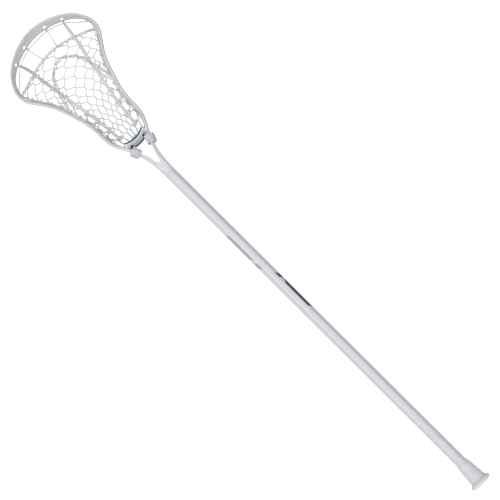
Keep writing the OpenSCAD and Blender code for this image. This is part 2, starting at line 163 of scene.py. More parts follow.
def half_in(a):
    return np.interp(a, SIDE_A, SIDE_W)


def rail_z(a):
    return np.interp(a, SIDE_A, SIDE_Z)


def sag(a):
    a = np.asarray(a, float)
    lo = 0.35 + 0.65 * np.sin(np.radians(90 * (np.clip(a, 92, 135) - 92) / 43))
    hi = np.power(np.maximum(0, np.cos(np.radians(90 * (np.maximum(a, 135) - 135) / 205))), 1.3)
    return SAG * np.where(a < 135, lo, hi)


def net_z(a, y):
    q = np.clip(np.abs(y) / half_in(a), 0, 1)
    return rail_z(a) + 3.4 - sag(a) * (1 - q ** 2.6)


def net(a, y, up=0.0):
    a, y = np.broadcast_arrays(np.asarray(a, float), np.asarray(y, float))
    up = np.broadcast_to(np.asarray(up, float), a.shape)
    z = net_z(a, y)
    zx = (net_z(a + 1, y) - net_z(a - 1, y)) / 2
    zy = (net_z(a, y + 1) - net_z(a, y - 1)) / 2
    n = np.stack([-zx, -zy, np.ones_like(zx)], -1)
    n /= np.linalg.norm(n, axis=-1)[..., None]
    return np.stack([JX + a, y, z], -1) + n * up[..., None]


def net_normal(a, y):
    return net(a, y, 1.0) - net(a, y, 0.0)


# ------------------------------------------------------------------ mesh helpers
class Geo:
    """Collects vertices, faces and a UV map, in mm."""

    def __init__(self):
        self.v, self.f, self.uv, self.n = [], [], [], 0

    def add(self, verts, faces, uvs=None):
        verts = np.asarray(verts, float)
        self.v.append(verts)
        for i, f in enumerate(faces):
            self.f.append(tuple(int(x) + self.n for x in f))
            self.uv.append(uvs[i] if uvs is not None else [(0.0, 0.0)] * len(f))
        self.n += len(verts)

    def object(self, name, mat=None, smooth=True):
        me = bpy.data.meshes.new(name)
        me.from_pydata((np.vstack(self.v) / 1000.0).tolist(), [], self.f)
        me.validate()
        if len(me.polygons) == len(self.f):
            layer = me.uv_layers.new(name="strand")
            layer.data.foreach_set("uv", np.array([c for f in self.uv for p in f for c in p], np.float32))
        me.polygons.foreach_set("use_smooth", [smooth] * len(me.polygons))
        me.update()
        ob = bpy.data.objects.new(name, me)
        bpy.context.scene.collection.objects.link(ob)
        if mat:
            me.materials.append(mat)
        if smooth is None or len(self.f) < 60000:
            bm = bmesh.new()
            bm.from_mesh(me)
            bmesh.ops.recalc_face_normals(bm, faces=bm.faces)
            bm.to_mesh(me)
            bm.free()
        return ob


def rings_mesh(geo, rings, closed=False, caps=True, lengths=None, uscale=0.1):
    """Skin a list of equal rings (S, K, 3)."""
    R = np.asarray(rings, float)
    S, K = R.shape[:2]
    if lengths is None:
        c = R.mean(1)
        lengths = np.concatenate([[0], np.cumsum(np.linalg.norm(np.diff(c, axis=0), axis=1))])
    faces, uvs = [], []
    last = S if closed else S - 1
    for i in range(last):
        i2 = (i + 1) % S
        u0 = lengths[i] * uscale
        u1 = (lengths[i + 1] if i + 1 < S else lengths[-1] + np.linalg.norm(R[0].mean(0) - R[-1].mean(0))) * uscale
        for j in range(K):
            j2 = (j + 1) % K
            faces.append((i * K + j, i * K + j2, i2 * K + j2, i2 * K + j))
            uvs.append([(u0, j / K), (u0, (j + 1) / K), (u1, (j + 1) / K), (u1, j / K)])
    V = R.reshape(-1, 3)
    if not closed and caps:
        n = len(V)
        V = np.vstack([V, R[0].mean(0), R[-1].mean(0)])
        for j in range(K):
            j2 = (j + 1) % K
            faces.append((n, j2, j))
            uvs.append([(0.0, 0.5)] * 3)
            faces.append((n + 1, (S - 1) * K + j, (S - 1) * K + j2))
            uvs.append([(lengths[-1] * uscale, 0.5)] * 3)
    geo.add(V, faces, uvs)


def resample(path, step, closed=False):
    P = np.asarray(path, float)
    if closed:
        P = np.vstack([P, P[:1]])
    d = np.concatenate([[0], np.cumsum(np.linalg.norm(np.diff(P, axis=0), axis=1))])
    n = max(2, int(round(d[-1] / step)))
    s = np.linspace(0, d[-1], n + 1)
    Q = np.stack([np.interp(s, d, P[:, k]) for k in range(P.shape[1])], 1)
    return Q[:-1] if closed else Q


def smooth_path(ctrl, n=40):
    c = np.asarray(ctrl, float)
    return spline(c, np.linspace(0, len(c) - 1, n * (len(c) - 1) + 1))


def frames(P, closed=False, up=None):
    """Tangent and two normals along a path, carried without twist, or held to the given up vectors."""
    if closed:
        T = np.roll(P, -1, 0) - np.roll(P, 1, 0)
    else:
        T = np.gradient(P, axis=0)
    T /= np.maximum(np.linalg.norm(T, axis=1), 1e-9)[:, None]
    if up is not None:
        U = np.broadcast_to(np.asarray(up, float), P.shape).copy()
        A = np.cross(T, U)
        A /= np.linalg.norm(A, axis=1)[:, None]
        return T, A, np.cross(A, T)
    A = np.zeros_like(P)
    a = np.cross(T[0], [0, 0, 1.0])
    if np.linalg.norm(a) < 0.2:
        a = np.cross(T[0], [0, 1.0, 0])
    A[0] = a / np.linalg.norm(a)
    for i in range(1, len(P)):
        a = A[i - 1] - T[i] * np.dot(A[i - 1], T[i])
        A[i] = a / np.linalg.norm(a)
    if closed:
        a = A[-1] - T[0] * np.dot(A[-1], T[0])
        a /= np.linalg.norm(a)
        ang = math.atan2(np.dot(np.cross(a, A[0]), T[0]), np.dot(a, A[0]))
        w = np.linspace(0, ang, len(P), endpoint=False)[:, None]
        A = A * np.cos(w) + np.cross(T, A) * np.sin(w)
    return T, A, np.cross(T, A)


def cord(geo, path, r, sides=12, step=0.8, ply=3, pitch=4.2, lobe=0.13, closed=False, phase=0.0, taper=True, smooth=True):
    """A laid cord of given radius: its strands show as lobes that wind round it."""
    P = resample(path, step, closed)
    T, A, B = frames(P, closed)
    S = len(P)
    s = np.arange(S) * step
    L = np.sum(np.linalg.norm(np.diff(P, axis=0), axis=1))
    if closed and ply:
        pitch = (L + np.linalg.norm(P[0] - P[-1])) / max(1, round((L + step) / pitch * ply)) * ply
    th = np.linspace(0, 2 * np.pi, sides, endpoint=False)[None, :]
    tw = (2 * np.pi * s / pitch + phase)[:, None] if ply else 0
    rad = r * (1 - lobe + lobe * np.abs(np.cos(ply / 2.0 * (th - tw))) * 2 - lobe * 0.4) if ply else r * np.ones((S, sides))
    rad = np.broadcast_to(rad, (S, sides)).copy()
    if taper and not closed and S > 4:
        e = np.minimum(np.arange(S), np.arange(S)[::-1]) * step
        rad *= np.sqrt(np.clip(1 - (1 - np.minimum(e / r, 1)) ** 2, 0.12, 1))[:, None]
    R = P[:, None] + A[:, None] * (rad * np.cos(th))[..., None] + B[:, None] * (rad * np.sin(th))[..., None]
    rings_mesh(geo, R, closed=closed)


def tube(geo, path, r, sides=8, step=1.6):
    cord(geo, path, r, sides=sides, step=step, ply=0)


def apply_mods(ob):
    dg = bpy.context.evaluated_depsgraph_get()
    dg.update()
    me = bpy.data.meshes.new_from_object(ob.evaluated_get(dg), preserve_all_data_layers=True, depsgraph=dg)
    old = ob.data
    ob.modifiers.clear()
    ob.data = me
    bpy.data.meshes.remove(old)
    return ob


def boolean(ob, cutter, op="DIFFERENCE", solver="EXACT"):
    m = ob.modifiers.new("b", "BOOLEAN")
    m.operation, m.object, m.solver = op, cutter, solver
    apply_mods(ob)
    bpy.data.objects.remove(cutter)
    return ob


def join(name, obs):
    bm = bmesh.new()
    for o in obs:
        bm.from_mesh(o.data)
    me = bpy.data.meshes.new(name)
    bm.to_mesh(me)
    bm.free()
    for o in obs:
        bpy.data.objects.remove(o)
    ob = bpy.data.objects.new(name, me)
    bpy.context.scene.collection.objects.link(ob)
    return ob


def shade(ob, smooth=True):
    ob.data.polygons.foreach_set("use_smooth", [smooth] * len(ob.data.polygons))
    ob.data.update()


def rounded_octagon(w, d, r, n=7):
    c = 0.293 * min(w, d)
    v = [(w / 2, d / 2 - c), (w / 2 - c, d / 2), (-w / 2 + c, d / 2), (-w / 2, d / 2 - c), (-w / 2, -d / 2 + c), (-w / 2 + c, -d / 2), (w / 2 - c, -d / 2), (w / 2, -d / 2 + c)]
    v = [np.array(x) for x in v]
    out = []
    for i in range(8):
        p = v[i]
        a = (v[i - 1] - p) / np.linalg.norm(v[i - 1] - p)
        b = (v[(i + 1) % 8] - p) / np.linalg.norm(v[(i + 1) % 8] - p)
        g = r * math.tan(math.radians(22.5))
        cen = p + (a + b) / np.linalg.norm(a + b) * r / math.cos(math.radians(22.5))
        s, e = p + a * g - cen, p + b * g - cen
        a0, a1 = math.atan2(s[1], s[0]), math.atan2(e[1], e[0])
        if a1 < a0:
            a1 += 2 * math.pi
        for f in np.linspace(0, 1, n):
            q = a0 + (a1 - a0) * f
            out.append(cen + r * np.array([math.cos(q), math.sin(q)]))
    return np.array(out)


def x_loft(geo, xs, rings2d, caps=True):
    rings = [np.column_stack([np.full(len(r), x), r]) for x, r in zip(xs, rings2d)]
    rings_mesh(geo, rings, caps=caps)


# ------------------------------------------------------------------ materials
class Mat:
    """Small builder for node materials."""

    def __init__(self, name):
        self.m = bpy.data.materials.new(name)
        self.m.use_nodes = True
        self.t = self.m.node_tree
        self.bsdf = self.t.nodes["Principled BSDF"]

    def node(self, kind, **kw):
        n = self.t.nodes.new(kind)
        for k, v in kw.items():
            setattr(n, k, v)
        return n

    def put(self, sock, val):
        if isinstance(val, bpy.types.NodeSocket):
            self.t.links.new(val, sock)
        else:
            sock.default_value = val

    def math(self, op, a, b=0.0, c=0.0, clamp=False):
        n = self.node("ShaderNodeMath", operation=op, use_clamp=clamp)
        self.put(n.inputs[0], a)
        self.put(n.inputs[1], b)
        if len(n.inputs) > 2:
            self.put(n.inputs[2], c)
        return n.outputs[0]

    def ramp(self, v, a, b, lo=0.0, hi=1.0, smooth=True):
        n = self.node("ShaderNodeMapRange", interpolation_type="SMOOTHSTEP" if smooth else "LINEAR")
        self.put(n.inputs[0], v)
        for i, x in zip((1, 2, 3, 4), (a, b, lo, hi)):
            self.put(n.inputs[i], x)
        return n.outputs[0]

    def mix(self, f, a, b):
        n = self.node("ShaderNodeMix", data_type="RGBA")
        self.put(n.inputs[0], f)
        for s, v in ((n.inputs[6], a), (n.inputs[7], b)):
            self.put(s, v if isinstance(v, bpy.types.NodeSocket) else (*v, 1.0))
        return n.outputs[2]

    def coords(self, kind="Object"):
        return self.node("ShaderNodeTexCoord").outputs[kind]

    def xyz(self, vec):
        n = self.node("ShaderNodeSeparateXYZ")
        self.put(n.inputs[0], vec)
        return n.outputs[0], n.outputs[1], n.outputs[2]

    def uv(self):
        return self.node("ShaderNodeUVMap", uv_map="strand").outputs[0]

    def scaled(self, vec, s):
        n = self.node("ShaderNodeVectorMath", operation="MULTIPLY")
        self.put(n.inputs[0], vec)
        n.inputs[1].default_value = s if isinstance(s, tuple) else (s, s, s)
        return n.outputs[0]

    def noise(self, vec, scale, detail=3.0, rough=0.55):
        n = self.node("ShaderNodeTexNoise")
        self.put(n.inputs["Vector"], vec)
        n.inputs["Scale"].default_value = scale
        n.inputs["Detail"].default_value = detail
        n.inputs["Roughness"].default_value = rough
        return n.outputs["Fac"]

    def bump(self, h, dist, strength=1.0, normal=None):
        n = self.node("ShaderNodeBump")
        self.put(n.inputs["Height"], h)
        n.inputs["Distance"].default_value = dist
        n.inputs["Strength"].default_value = strength
        if normal is not None:
            self.put(n.inputs["Normal"], normal)
        return n.outputs[0]

    def done(self, color, rough, normal=None, **kw):
        b = self.bsdf.inputs
        self.put(b["Base Color"], color if isinstance(color, bpy.types.NodeSocket) else (*color, 1.0))
        self.put(b["Roughness"], rough)
        if normal is not None:
            self.put(b["Normal"], normal)
        for k, v in kw.items():
            self.put(b[k.replace("_", " ")], v)
        return self.m


def mat_head():
    m = Mat("head_plastic")
    c = m.coords()
    big = m.noise(c, 28, 3)
    fine = m.noise(c, 2600, 2)
    mid = m.noise(c, 420, 3)
    col = m.mix(m.ramp(big, 0.35, 0.65), (0.70, 0.715, 0.735), (0.745, 0.755, 0.77))
    geo = m.node("ShaderNodeNewGeometry")
    edge = m.ramp(geo.outputs["Pointiness"], 0.52, 0.62)
    col = m.mix(m.math("MULTIPLY", edge, 0.35), col, (0.84, 0.845, 0.85))
    # painted shade: the seat behind the ball stop is darkened to a cool grey, standing in for the shade it lies in
    x, y, z = m.xyz(c)
    dx = m.math("SUBTRACT", STOP_C_M, x)
    rad = m.math("SQRT", m.math("ADD", m.math("MULTIPLY", dx, dx), m.math("MULTIPLY", y, y)))
    ang = m.math("ABSOLUTE", m.math("ARCTAN2", y, dx))
    seat_shade = m.math("MULTIPLY", m.math("MULTIPLY", m.ramp(rad, 0.0384, 0.0415), m.ramp(rad, 0.0490, 0.0496, 1.0, 0.0)), m.ramp(ang, math.radians(25), math.radians(31), 1.0, 0.0))
    seat_shade = m.math("MULTIPLY", seat_shade, m.ramp(z, 0.0, 0.002))
    col = m.mix(m.math("MULTIPLY", seat_shade, 0.85), col, (0.40, 0.44, 0.50))
    rough = m.ramp(m.math("ADD", m.math("MULTIPLY", mid, 0.6), m.math("MULTIPLY", big, 0.4)), 0.3, 0.7, 0.3, 0.44)
    n = m.bump(m.math("ADD", m.math("MULTIPLY", fine, 0.6), mid), 0.00008, 0.5)
    return m.done(col, rough, n, Coat_Weight=0.12, Coat_Roughness=0.25, Subsurface_Weight=0.04, Subsurface_Scale=0.002)


def mat_shaft():
    m = Mat("handle_gloss")
    c = m.coords()
    x, y, z = m.xyz(c)
    mm = lambda v: m.math("MULTIPLY", v, 1000.0)
    X, Y, Z = mm(x), mm(y), mm(z)
    base = m.mix(m.noise(c, 60, 3), (0.655, 0.668, 0.695), (0.675, 0.688, 0.712))
    # faint wound texture of the composite under the lacquer
    wave = m.node("ShaderNodeTexWave", wave_type="BANDS", bands_direction="X")
    m.put(wave.inputs["Vector"], c)
    wave.inputs["Scale"].default_value = 105
    wave.inputs["Distortion"].default_value = 1.2
    wave.inputs["Detail"].default_value = 2
    wave.inputs["Detail Scale"].default_value = 1.5
    band = m.math("MULTIPLY", m.ramp(X, 400, 440), m.ramp(X, 500, 540, 1.0, 0.0))
    rib = m.math("MULTIPLY", wave.outputs["Fac"], m.math("ADD", m.math("MULTIPLY", band, 0.8), 0.2))
    col = m.mix(m.math("MULTIPLY", rib, 0.12), base, (0.52, 0.54, 0.57))

    def bar(v, a, b, soft=0.35):
        return m.math("MULTIPLY", m.ramp(v, a - soft, a + soft), m.ramp(v, b - soft, b + soft, 1.0, 0.0))

    up = m.ramp(Z, 2.5, 3.2)
    # plain foil bars with slanted ends, one group on each shoulder of the handle
    left = m.math("MULTIPLY", bar(Y, 5.4, 9.9, 0.25), up)
    sl = m.math("SUBTRACT", X, m.math("MULTIPLY", m.math("SUBTRACT", Y, 7.6), 1.5))
    f1 = m.math("MULTIPLY", left, m.math("MAXIMUM", bar(sl, 548, 606), bar(sl, 526, 539)))
    col = m.mix(m.math("MULTIPLY", f1, 0.85), col, (0.42, 0.435, 0.455))
    right = m.math("MULTIPLY", bar(Y, -9.7, -5.2, 0.25), up)
    sr = m.math("ADD", X, m.math("MULTIPLY", m.math("ADD", Y, 7.4), 1.5))
    sq = m.math("SUBTRACT", X, m.math("MULTIPLY", m.math("ADD", Y, 7.4), 1.5))
    f2 = m.math("MULTIPLY", right, m.math("MAXIMUM", bar(sq, 491, 502), m.math("MULTIPLY", m.ramp(sq, 421.6, 422.4), m.ramp(sr, 481.6, 482.4, 1.0, 0.0))))
    col = m.mix(m.math("MULTIPLY", f2, 0.92), col, (0.11, 0.12, 0.13))
    edge = m.math("MULTIPLY", m.math("MULTIPLY", bar(X, 416, 516, 0.6), m.ramp(Y, 10.25, 10.4)), m.ramp(m.math("ABSOLUTE", Z), 4.6, 5.0, 1.0, 0.0))
    col = m.mix(m.math("MULTIPLY", edge, 0.75), col, (0.16, 0.17, 0.18))
    foil = m.math("MAXIMUM", m.math("MAXIMUM", f1, f2), edge)
    rough = m.ramp(foil, 0, 1, 0.3, 0.22)
    nn = m.noise(c, 900, 3)
    n = m.bump(m.math("ADD", m.math("MULTIPLY", rib, 0.7), m.math("ADD", m.math("MULTIPLY", nn, 0.25), m.math("MULTIPLY", foil, 0.4))), 0.00007, 0.5)
    return m.done(col, rough, n, Metallic=m.math("MULTIPLY", foil, 0.35), Coat_Weight=0.55, Coat_Roughness=0.12)


def mat_rubber():
    m = Mat("cap_rubber")
    c = m.coords()
    g = m.noise(c, 1900, 3)
    b = m.noise(c, 45, 3)
    col = m.mix(m.ramp(b, 0.35, 0.65), (0.665, 0.66, 0.69), (0.70, 0.695, 0.725))
    x, _, _ = m.xyz(c)
    # painted shade: the sleeve in the groove under the flange is darkened
    groove_shade = m.math("MULTIPLY", m.ramp(x, 0.0055, 0.0085), m.ramp(x, 0.0085, 0.0125, 1.0, 0.0))
    col = m.mix(m.math("MULTIPLY", groove_shade, 0.55), col, (0.43, 0.425, 0.455))
    # painted highlight: the rim of the flange is lightened
    rim_highlight = m.math("MULTIPLY", m.ramp(x, 0.0012, 0.0024), m.ramp(x, 0.0046, 0.006, 1.0, 0.0))
    col = m.mix(m.math("MULTIPLY", rim_highlight, 0.6), col, (0.84, 0.835, 0.85))
    col = m.mix(m.ramp(x, 0.0002, 0.0012, 0.5, 0.0), col, (0.40, 0.40, 0.42))
    rough = m.ramp(m.noise(c, 260, 3), 0.3, 0.7, 0.5, 0.66)
    n = m.bump(m.math("ADD", m.math("MULTIPLY", g, 0.8), m.noise(c, 420, 2)), 0.00016, 0.55)
    return m.done(col, rough, n, Specular_IOR_Level=0.35)


def mat_cord(name, light, dark, strands=16.0, lay=26.0, bumpd=0.00022):
    m = Mat(name)
    u, v, _ = m.xyz(m.uv())
    a = m.math("MULTIPLY", u, lay)
    w = m.math("MULTIPLY", v, strands * math.pi)
    p = m.math("SINE", m.math("ADD", m.math("MULTIPLY", a, math.pi), w))
    q = m.math("SINE", m.math("SUBTRACT", m.math("MULTIPLY", a, math.pi), w))
    weave = m.math("MULTIPLY", p, q)
    tex = m.ramp(weave, -0.6, 0.8)
    c = m.coords()
    fuzz = m.noise(c, 4200, 3)
    blotch = m.noise(c, 130, 3)
    lt = tuple(x * 0.94 for x in light)
    col = m.mix(m.ramp(blotch, 0.35, 0.65), light, lt)
    # painted shade: the braid's crevices are darkened towards the dark colour
    col = m.mix(m.math("MULTIPLY", m.ramp(tex, 0.0, 0.7, 1.0, 0.0), 0.55), col, dark)
    n = m.bump(m.math("ADD", tex, m.math("MULTIPLY", fuzz, 0.5)), bumpd, 0.8)
    return m.done(col, m.ramp(fuzz, 0.3, 0.7, 0.62, 0.82), n, Sheen_Weight=0.35, Sheen_Roughness=0.45)


def mat_runner():
    m = Mat("runner_webbing")
    u, v, _ = m.xyz(m.uv())
    # u runs along the strap (1 = 10 mm), v once round it
    warp = m.math("SINE", m.math("MULTIPLY", v, 2 * math.pi * 22))
    weft = m.math("SINE", m.math("MULTIPLY", u, 2 * math.pi * 7.5))
    chev = m.math("SINE", m.math("MULTIPLY", m.math("ADD", u, m.math("MULTIPLY", m.math("ABSOLUTE", m.math("SUBTRACT", m.math("FRACT", m.math("MULTIPLY", v, 2.0)), 0.5)), 0.5)), 2 * math.pi * 7.5))
    tex = m.ramp(m.math("ADD", m.math("MULTIPLY", m.math("MULTIPLY", warp, weft), 0.5), m.math("MULTIPLY", chev, 0.6)), -0.9, 0.9)
    c = m.coords()
    fuzz = m.noise(c, 4200, 3)
    col = m.mix(m.ramp(m.noise(c, 70, 3), 0.35, 0.65), (0.80, 0.80, 0.86), (0.85, 0.845, 0.90))
    col = m.mix(m.math("MULTIPLY", m.ramp(tex, 0.0, 0.75, 1.0, 0.0), 0.5), col, (0.52, 0.52, 0.60))
    x, y, z = m.xyz(c)
    # darker grey towards the scoop end, stronger on the left runner
    scoop_end_grey = m.math("MULTIPLY", m.ramp(x, 0.955, 1.0), m.ramp(y, -0.02, 0.02, 0.35, 1.0))
    col = m.mix(m.math("MULTIPLY", scoop_end_grey, 0.7), col, (0.46, 0.46, 0.49))
    n = m.bump(m.math("ADD", tex, m.math("MULTIPLY", fuzz, 0.4)), 0.00022, 0.8)
    return m.done(col, m.ramp(fuzz, 0.3, 0.7, 0.6, 0.8), n, Sheen_Weight=0.4, Sheen_Roughness=0.45)


def mat_foam():
    m = Mat("dark_foam")
    c = m.coords()
    v = m.node("ShaderNodeTexVoronoi", feature="DISTANCE_TO_EDGE")
    m.put(v.inputs["Vector"], c)
    v.inputs["Scale"].default_value = 1500
    cell = m.ramp(v.outputs["Distance"], 0.0, 0.25)
    col = m.mix(cell, (0.010, 0.012, 0.020), (0.030, 0.034, 0.050))
    n = m.bump(m.math("ADD", m.math("MULTIPLY", cell, 0.7), m.noise(c, 380, 3)), 0.00018, 0.7)
    return m.done(col, m.ramp(m.noise(c, 600, 2), 0.3, 0.7, 0.75, 0.92), n)


def mat_steel():
    m = Mat("screw_steel")
    c = m.coords()
    br = m.noise(m.scaled(c, (1.0, 12.0, 1.0)), 900, 3)
    col = m.mix(m.noise(c, 500, 3), (0.50, 0.50, 0.51), (0.64, 0.64, 0.65))
    return m.done(col, m.ramp(br, 0.3, 0.7, 0.2, 0.42), m.bump(br, 0.00003, 0.6), Metallic=1.0)


M_HEAD, M_SHAFT, M_RUBBER, M_FOAM, M_STEEL, M_RUNNER = mat_head(), mat_shaft(), mat_rubber(), mat_foam(), mat_steel(), mat_runner()
M_CORD = mat_cord("cord", (0.94, 0.94, 0.935), (0.74, 0.74, 0.745))
M_SHOOT = mat_cord("shooting_cord", (0.89, 0.90, 0.87), (0.58, 0.59, 0.56), lay=22.0)
M_LASH = mat_cord("lashing_cord", (0.86, 0.875, 0.90), (0.50, 0.52, 0.56), lay=18.0)
M_NET = mat_cord("netting", (0.95, 0.95, 0.92), (0.78, 0.78, 0.74), strands=10.0, lay=24.0, bumpd=0.00016)


def finish_piece(ob, node, mat, smooth=True):
    ob.data.materials.clear()
    ob.data.materials.append(mat)
    shade(ob, smooth)
    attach(ob, BODY)
    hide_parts(node)
    return ob


# ------------------------------------------------------------------ head frame
STOP_R, STOP_W = 37.4, 10.6
STOP_C = JX + 83.5 + 36.3
BASE_TOP, BASE_BOT = 13.0, -17.0
LASH_T, LASH_R = 4.05, 2.4
WINDOWS = [(8.35, 19, 11, -8.6, 0), (9.7, 25, 15, -9.6, 0), (11.1, 24, 15, -9.8, 0), (12.45, 22, 13, -8.6, 0), (13.75, 19, 10.5, -6.8, 0), (15.35, 19, 8, -4.5, 38)]
RAIL_HOLES = [7.6, 8.2, 8.9, 9.5, 10.2, 10.8, 11.6, 12.3, 13.1, 13.9, 14.8]
SCOOP_HOLES = [(20.07, 4.6), (21.69, 5.0)]
EYELET_R = 2.5
HOLE_R = 1.7


def both(t):
    return (t, NC - 1 - t)


def local_axes(t):
    p, q = plan(t)[0], inward(t)[0]
    return np.array([p[0], p[1], 0.0]), np.array([q[0], q[1], 0.0]), np.array([-q[1], q[0], 0.0])


def slot_cutter(geo, t, l, h, z, tip):
    r = at(t)[0]
    p, q, w = local_axes(t)
    n0 = r[4] * (r[2] - z) / (r[2] - r[3]) + r[5] / 2
    c = p + q * n0 + np.array([0, 0, z])
    ct, st = math.cos(math.radians(tip)), math.sin(math.radians(tip))
    ax = q * ct + np.array([0, 0, 1.0]) * st
    up = np.array([0, 0, 1.0]) * ct - q * st
    ring = []
    for s in (1, -1):
        for a in np.linspace(-90, 90, 13):
            a = math.radians(a)
            ring.append((s * ((l - h) / 2 + h / 2 * math.cos(a)), s * h / 2 * math.sin(a)))
    rings = [[c + ax * d + w * x + up * y for x, y in ring] for d in (-13, 13)]
    rings_mesh(geo, rings)


def hole_cutter(geo, c, ax, r, length, sides=28):
    ax = ax / np.linalg.norm(ax)
    a = np.cross(ax, [0.3, 0.1, 1.0])
    a /= np.linalg.norm(a)
    b = np.cross(ax, a)
    rings = [[c + ax * d + r * (a * math.cos(k) + b * math.sin(k)) for k in np.linspace(0, 2 * math.pi, sides, endpoint=False)] for d in (-length / 2, length / 2)]
    rings_mesh(geo, rings)


def eyelet(t, d):
    """Plan point of a scoop eyelet d from the inner edge, the wall's upper and lower face heights there, and its distance in."""
    r = at(t)[0]
    p, q, w = local_axes(t)
    n = r[4] + r[5] - d
    slope = (r[2] - r[3]) / r[4]
    return p + q * n, r[2] - (n - r[5]) * slope, max(r[3], r[2] - n * slope), n


def sector(geo, prof, half, n=48, fade=0.0):
    """A closed (radius, height) profile swept round the centre of the base."""
    prof = np.asarray(prof, float)[None]
    prof = chaikin(chaikin(prof))[0]
    rings = []
    for ph in np.linspace(-half, half, n):
        a = math.radians(ph)
        rings.append([(STOP_C - r * math.cos(a), r * math.sin(a), z) for r, z in prof])
    rings_mesh(geo, rings)


def rect(r0, r1, z0, z1, c=0.9):
    return [(r0 + c, z0), (r1 - c, z0), (r1, z0 + c), (r1, z1 - c), (r1 - c, z1), (r0 + c, z1), (r0, z1 - c), (r0, z0 + c)]


def box_cutter(geo, c, X, Y, Z, sx, sy, sz):
    rings = [[c + X * x * sx / 2 + Y * y * sy / 2 + Z * z * sz / 2 for x, y in ((-1, -1), (1, -1), (1, 1), (-1, 1))] for z in (-1, 1)]
    rings_mesh(geo, rings)


def lash_axes(t):
    """Centre, inward, up and along axes of the strut at spline place t."""
    r = at(t)[0]
    p, q, w = local_axes(t)
    return p + q * r[5] / 2 + np.array([0, 0, (r[2] + r[3]) / 2]), q, np.array([0, 0, 1.0]), w


def build_head():
    parts = []
    per = 10
    t = np.linspace(0, NC - 1, (NC - 1) * per + 1)
    sec = chaikin(chaikin(sections(t)))
    p, q = plan(t), inward(t)
    R = np.stack([p[:, None, 0] + q[:, None, 0] * sec[..., 0], p[:, None, 1] + q[:, None, 1] * sec[..., 0], sec[..., 1]], 2)
    g = Geo()
    rings_mesh(g, R[:, ::-1])
    wall = g.object("wall")
    cut = Geo()
    for w in WINDOWS:
        for k in both(w[0]):
            slot_cutter(cut, k, *w[1:])
    boolean(wall, cut.object("cut"))
    parts.append(wall)
    # neck that closes the V of the struts, and the plug that goes into the handle
    g = Geo()
    xs = np.linspace(0, 46, 24)
    rows = at(np.interp(xs, ROWS[:6, 0], np.arange(6)))
    wid = np.minimum(2 * np.interp(xs, ROWS[:6, 0], ROWS[:6, 1]) - 0.2, 24.0)
    wid[0] = 21.2
    rings = [rounded_octagon(w, 24.0 + 0.006 * x, 3.0) for x, w in zip(xs, wid)]
    x_loft(g, JX + xs, rings)
    neck = g.object("neck")
    cut = Geo()
    out = [(25.0, 0.0)]
    arc = [(26.8 - 2.0 * math.cos(a), 2.0 * math.sin(a)) for a in np.linspace(math.radians(-72), math.radians(72), 13)]
    poly = arc + [(47.5, 9.4), (56, 12.0), (56, -12.0), (47.5, -9.4)]
    rings_mesh(cut, [[(JX + x, y, z) for x, y in poly] for z in (-30, 30)])
    boolean(neck, cut.object("cut"))
    parts.append(neck)
    g = Geo()
    x_loft(g, [JX - 48, JX - 47, JX + 4], [rounded_octagon(16.3, 19.1, 2.2), rounded_octagon(17.5, 20.3, 2.2), rounded_octagon(17.5, 20.3, 2.2)])
    parts.append(g.object("plug"))
    # base: plates, ball side wall
    g = Geo()
    sector(g, [(STOP_R + 0.5, BASE_TOP), (STOP_R + 3.2, BASE_TOP - 0.1), (STOP_R + 6.2, BASE_TOP - 1.0), (STOP_R + 8.8, BASE_TOP - 2.8), (STOP_R + STOP_W - 0.4, BASE_TOP - 5.0), (STOP_R + STOP_W, BASE_TOP - 6.4), (STOP_R + STOP_W - 0.6, BASE_TOP - 7.2), (STOP_R + STOP_W - 2.4, BASE_TOP - 6.2), (STOP_R + 4, BASE_TOP - 4.2), (STOP_R + 0.5, BASE_TOP - 3.6), (STOP_R, BASE_TOP - 2.6), (STOP_R, BASE_TOP - 0.8)][::-1], 33)
    sector(g, rect(STOP_R, STOP_R + STOP_W, BASE_BOT, BASE_BOT + 3.6), 33)
    plates = g.object("plates")
    cut = Geo()
    for k in both(LASH_T):
        c, qx, up, al = lash_axes(k)
        box_cutter(cut, c, qx, up, al, 8.6 + 4 * LASH_R + 1, 60, 7.52 * LASH_R + 1.6)
    boolean(plates, cut.object("cut"))
    cut = Geo()
    for s in (-1, 1):
        a = math.radians(17.6) * s
        rr = STOP_R + STOP_W - 2.4
        hole_cutter(cut, np.array([STOP_C - rr * math.cos(a), rr * math.sin(a), BASE_TOP]), np.array([0, 0, 1.0]), 2.5, 16)
    boolean(plates, cut.object("cut"))
    parts.append(plates)
    g = Geo()
    sector(g, rect(STOP_R, STOP_R + 2.6, BASE_BOT, BASE_TOP, 0.8), 37)
    parts.append(g.object("stop_wall"))
    head = join("head_frame_skin", parts)
    m = head.modifiers.new("r", "REMESH")
    m.mode, m.voxel_size, m.adaptivity = "VOXEL", 0.00093, 0.0
    m.use_smooth_shade = True
    s = head.modifiers.new("s", "SMOOTH")
    s.factor, s.iterations = 0.5, 5
    apply_mods(head)
    # string holes and the screw hole, cut crisp after the skin is closed
    cut = Geo()
    for t0 in RAIL_HOLES:
        for k in both(t0):
            r = at(k)[0]
            pp, qq, ww = local_axes(k)
            hole_cutter(cut, pp + qq * (r[4] + 2) + np.array([0, 0, r[3] + 3.2]), qq, HOLE_R, 22)
    for t0, f in SCOOP_HOLES:
        for k in both(t0):
            c = eyelet(k, f)[0]
            hole_cutter(cut, c + np.array([0, 0, 8.0]), np.array([0, 0, 1.0]), EYELET_R, 36, 40)
    hole_cutter(cut, np.array([JX - 22, 0, -10.0]), np.array([0, 0, 1.0]), 2.0, 28)
    boolean(head, cut.object("cut"))
    return head


head = build_head()
finish_piece(head, "head_frame", M_HEAD)

# ------------------------------------------------------------------ handle
SH_W, SH_D, SH_T = 21.2, 24.0, 1.7


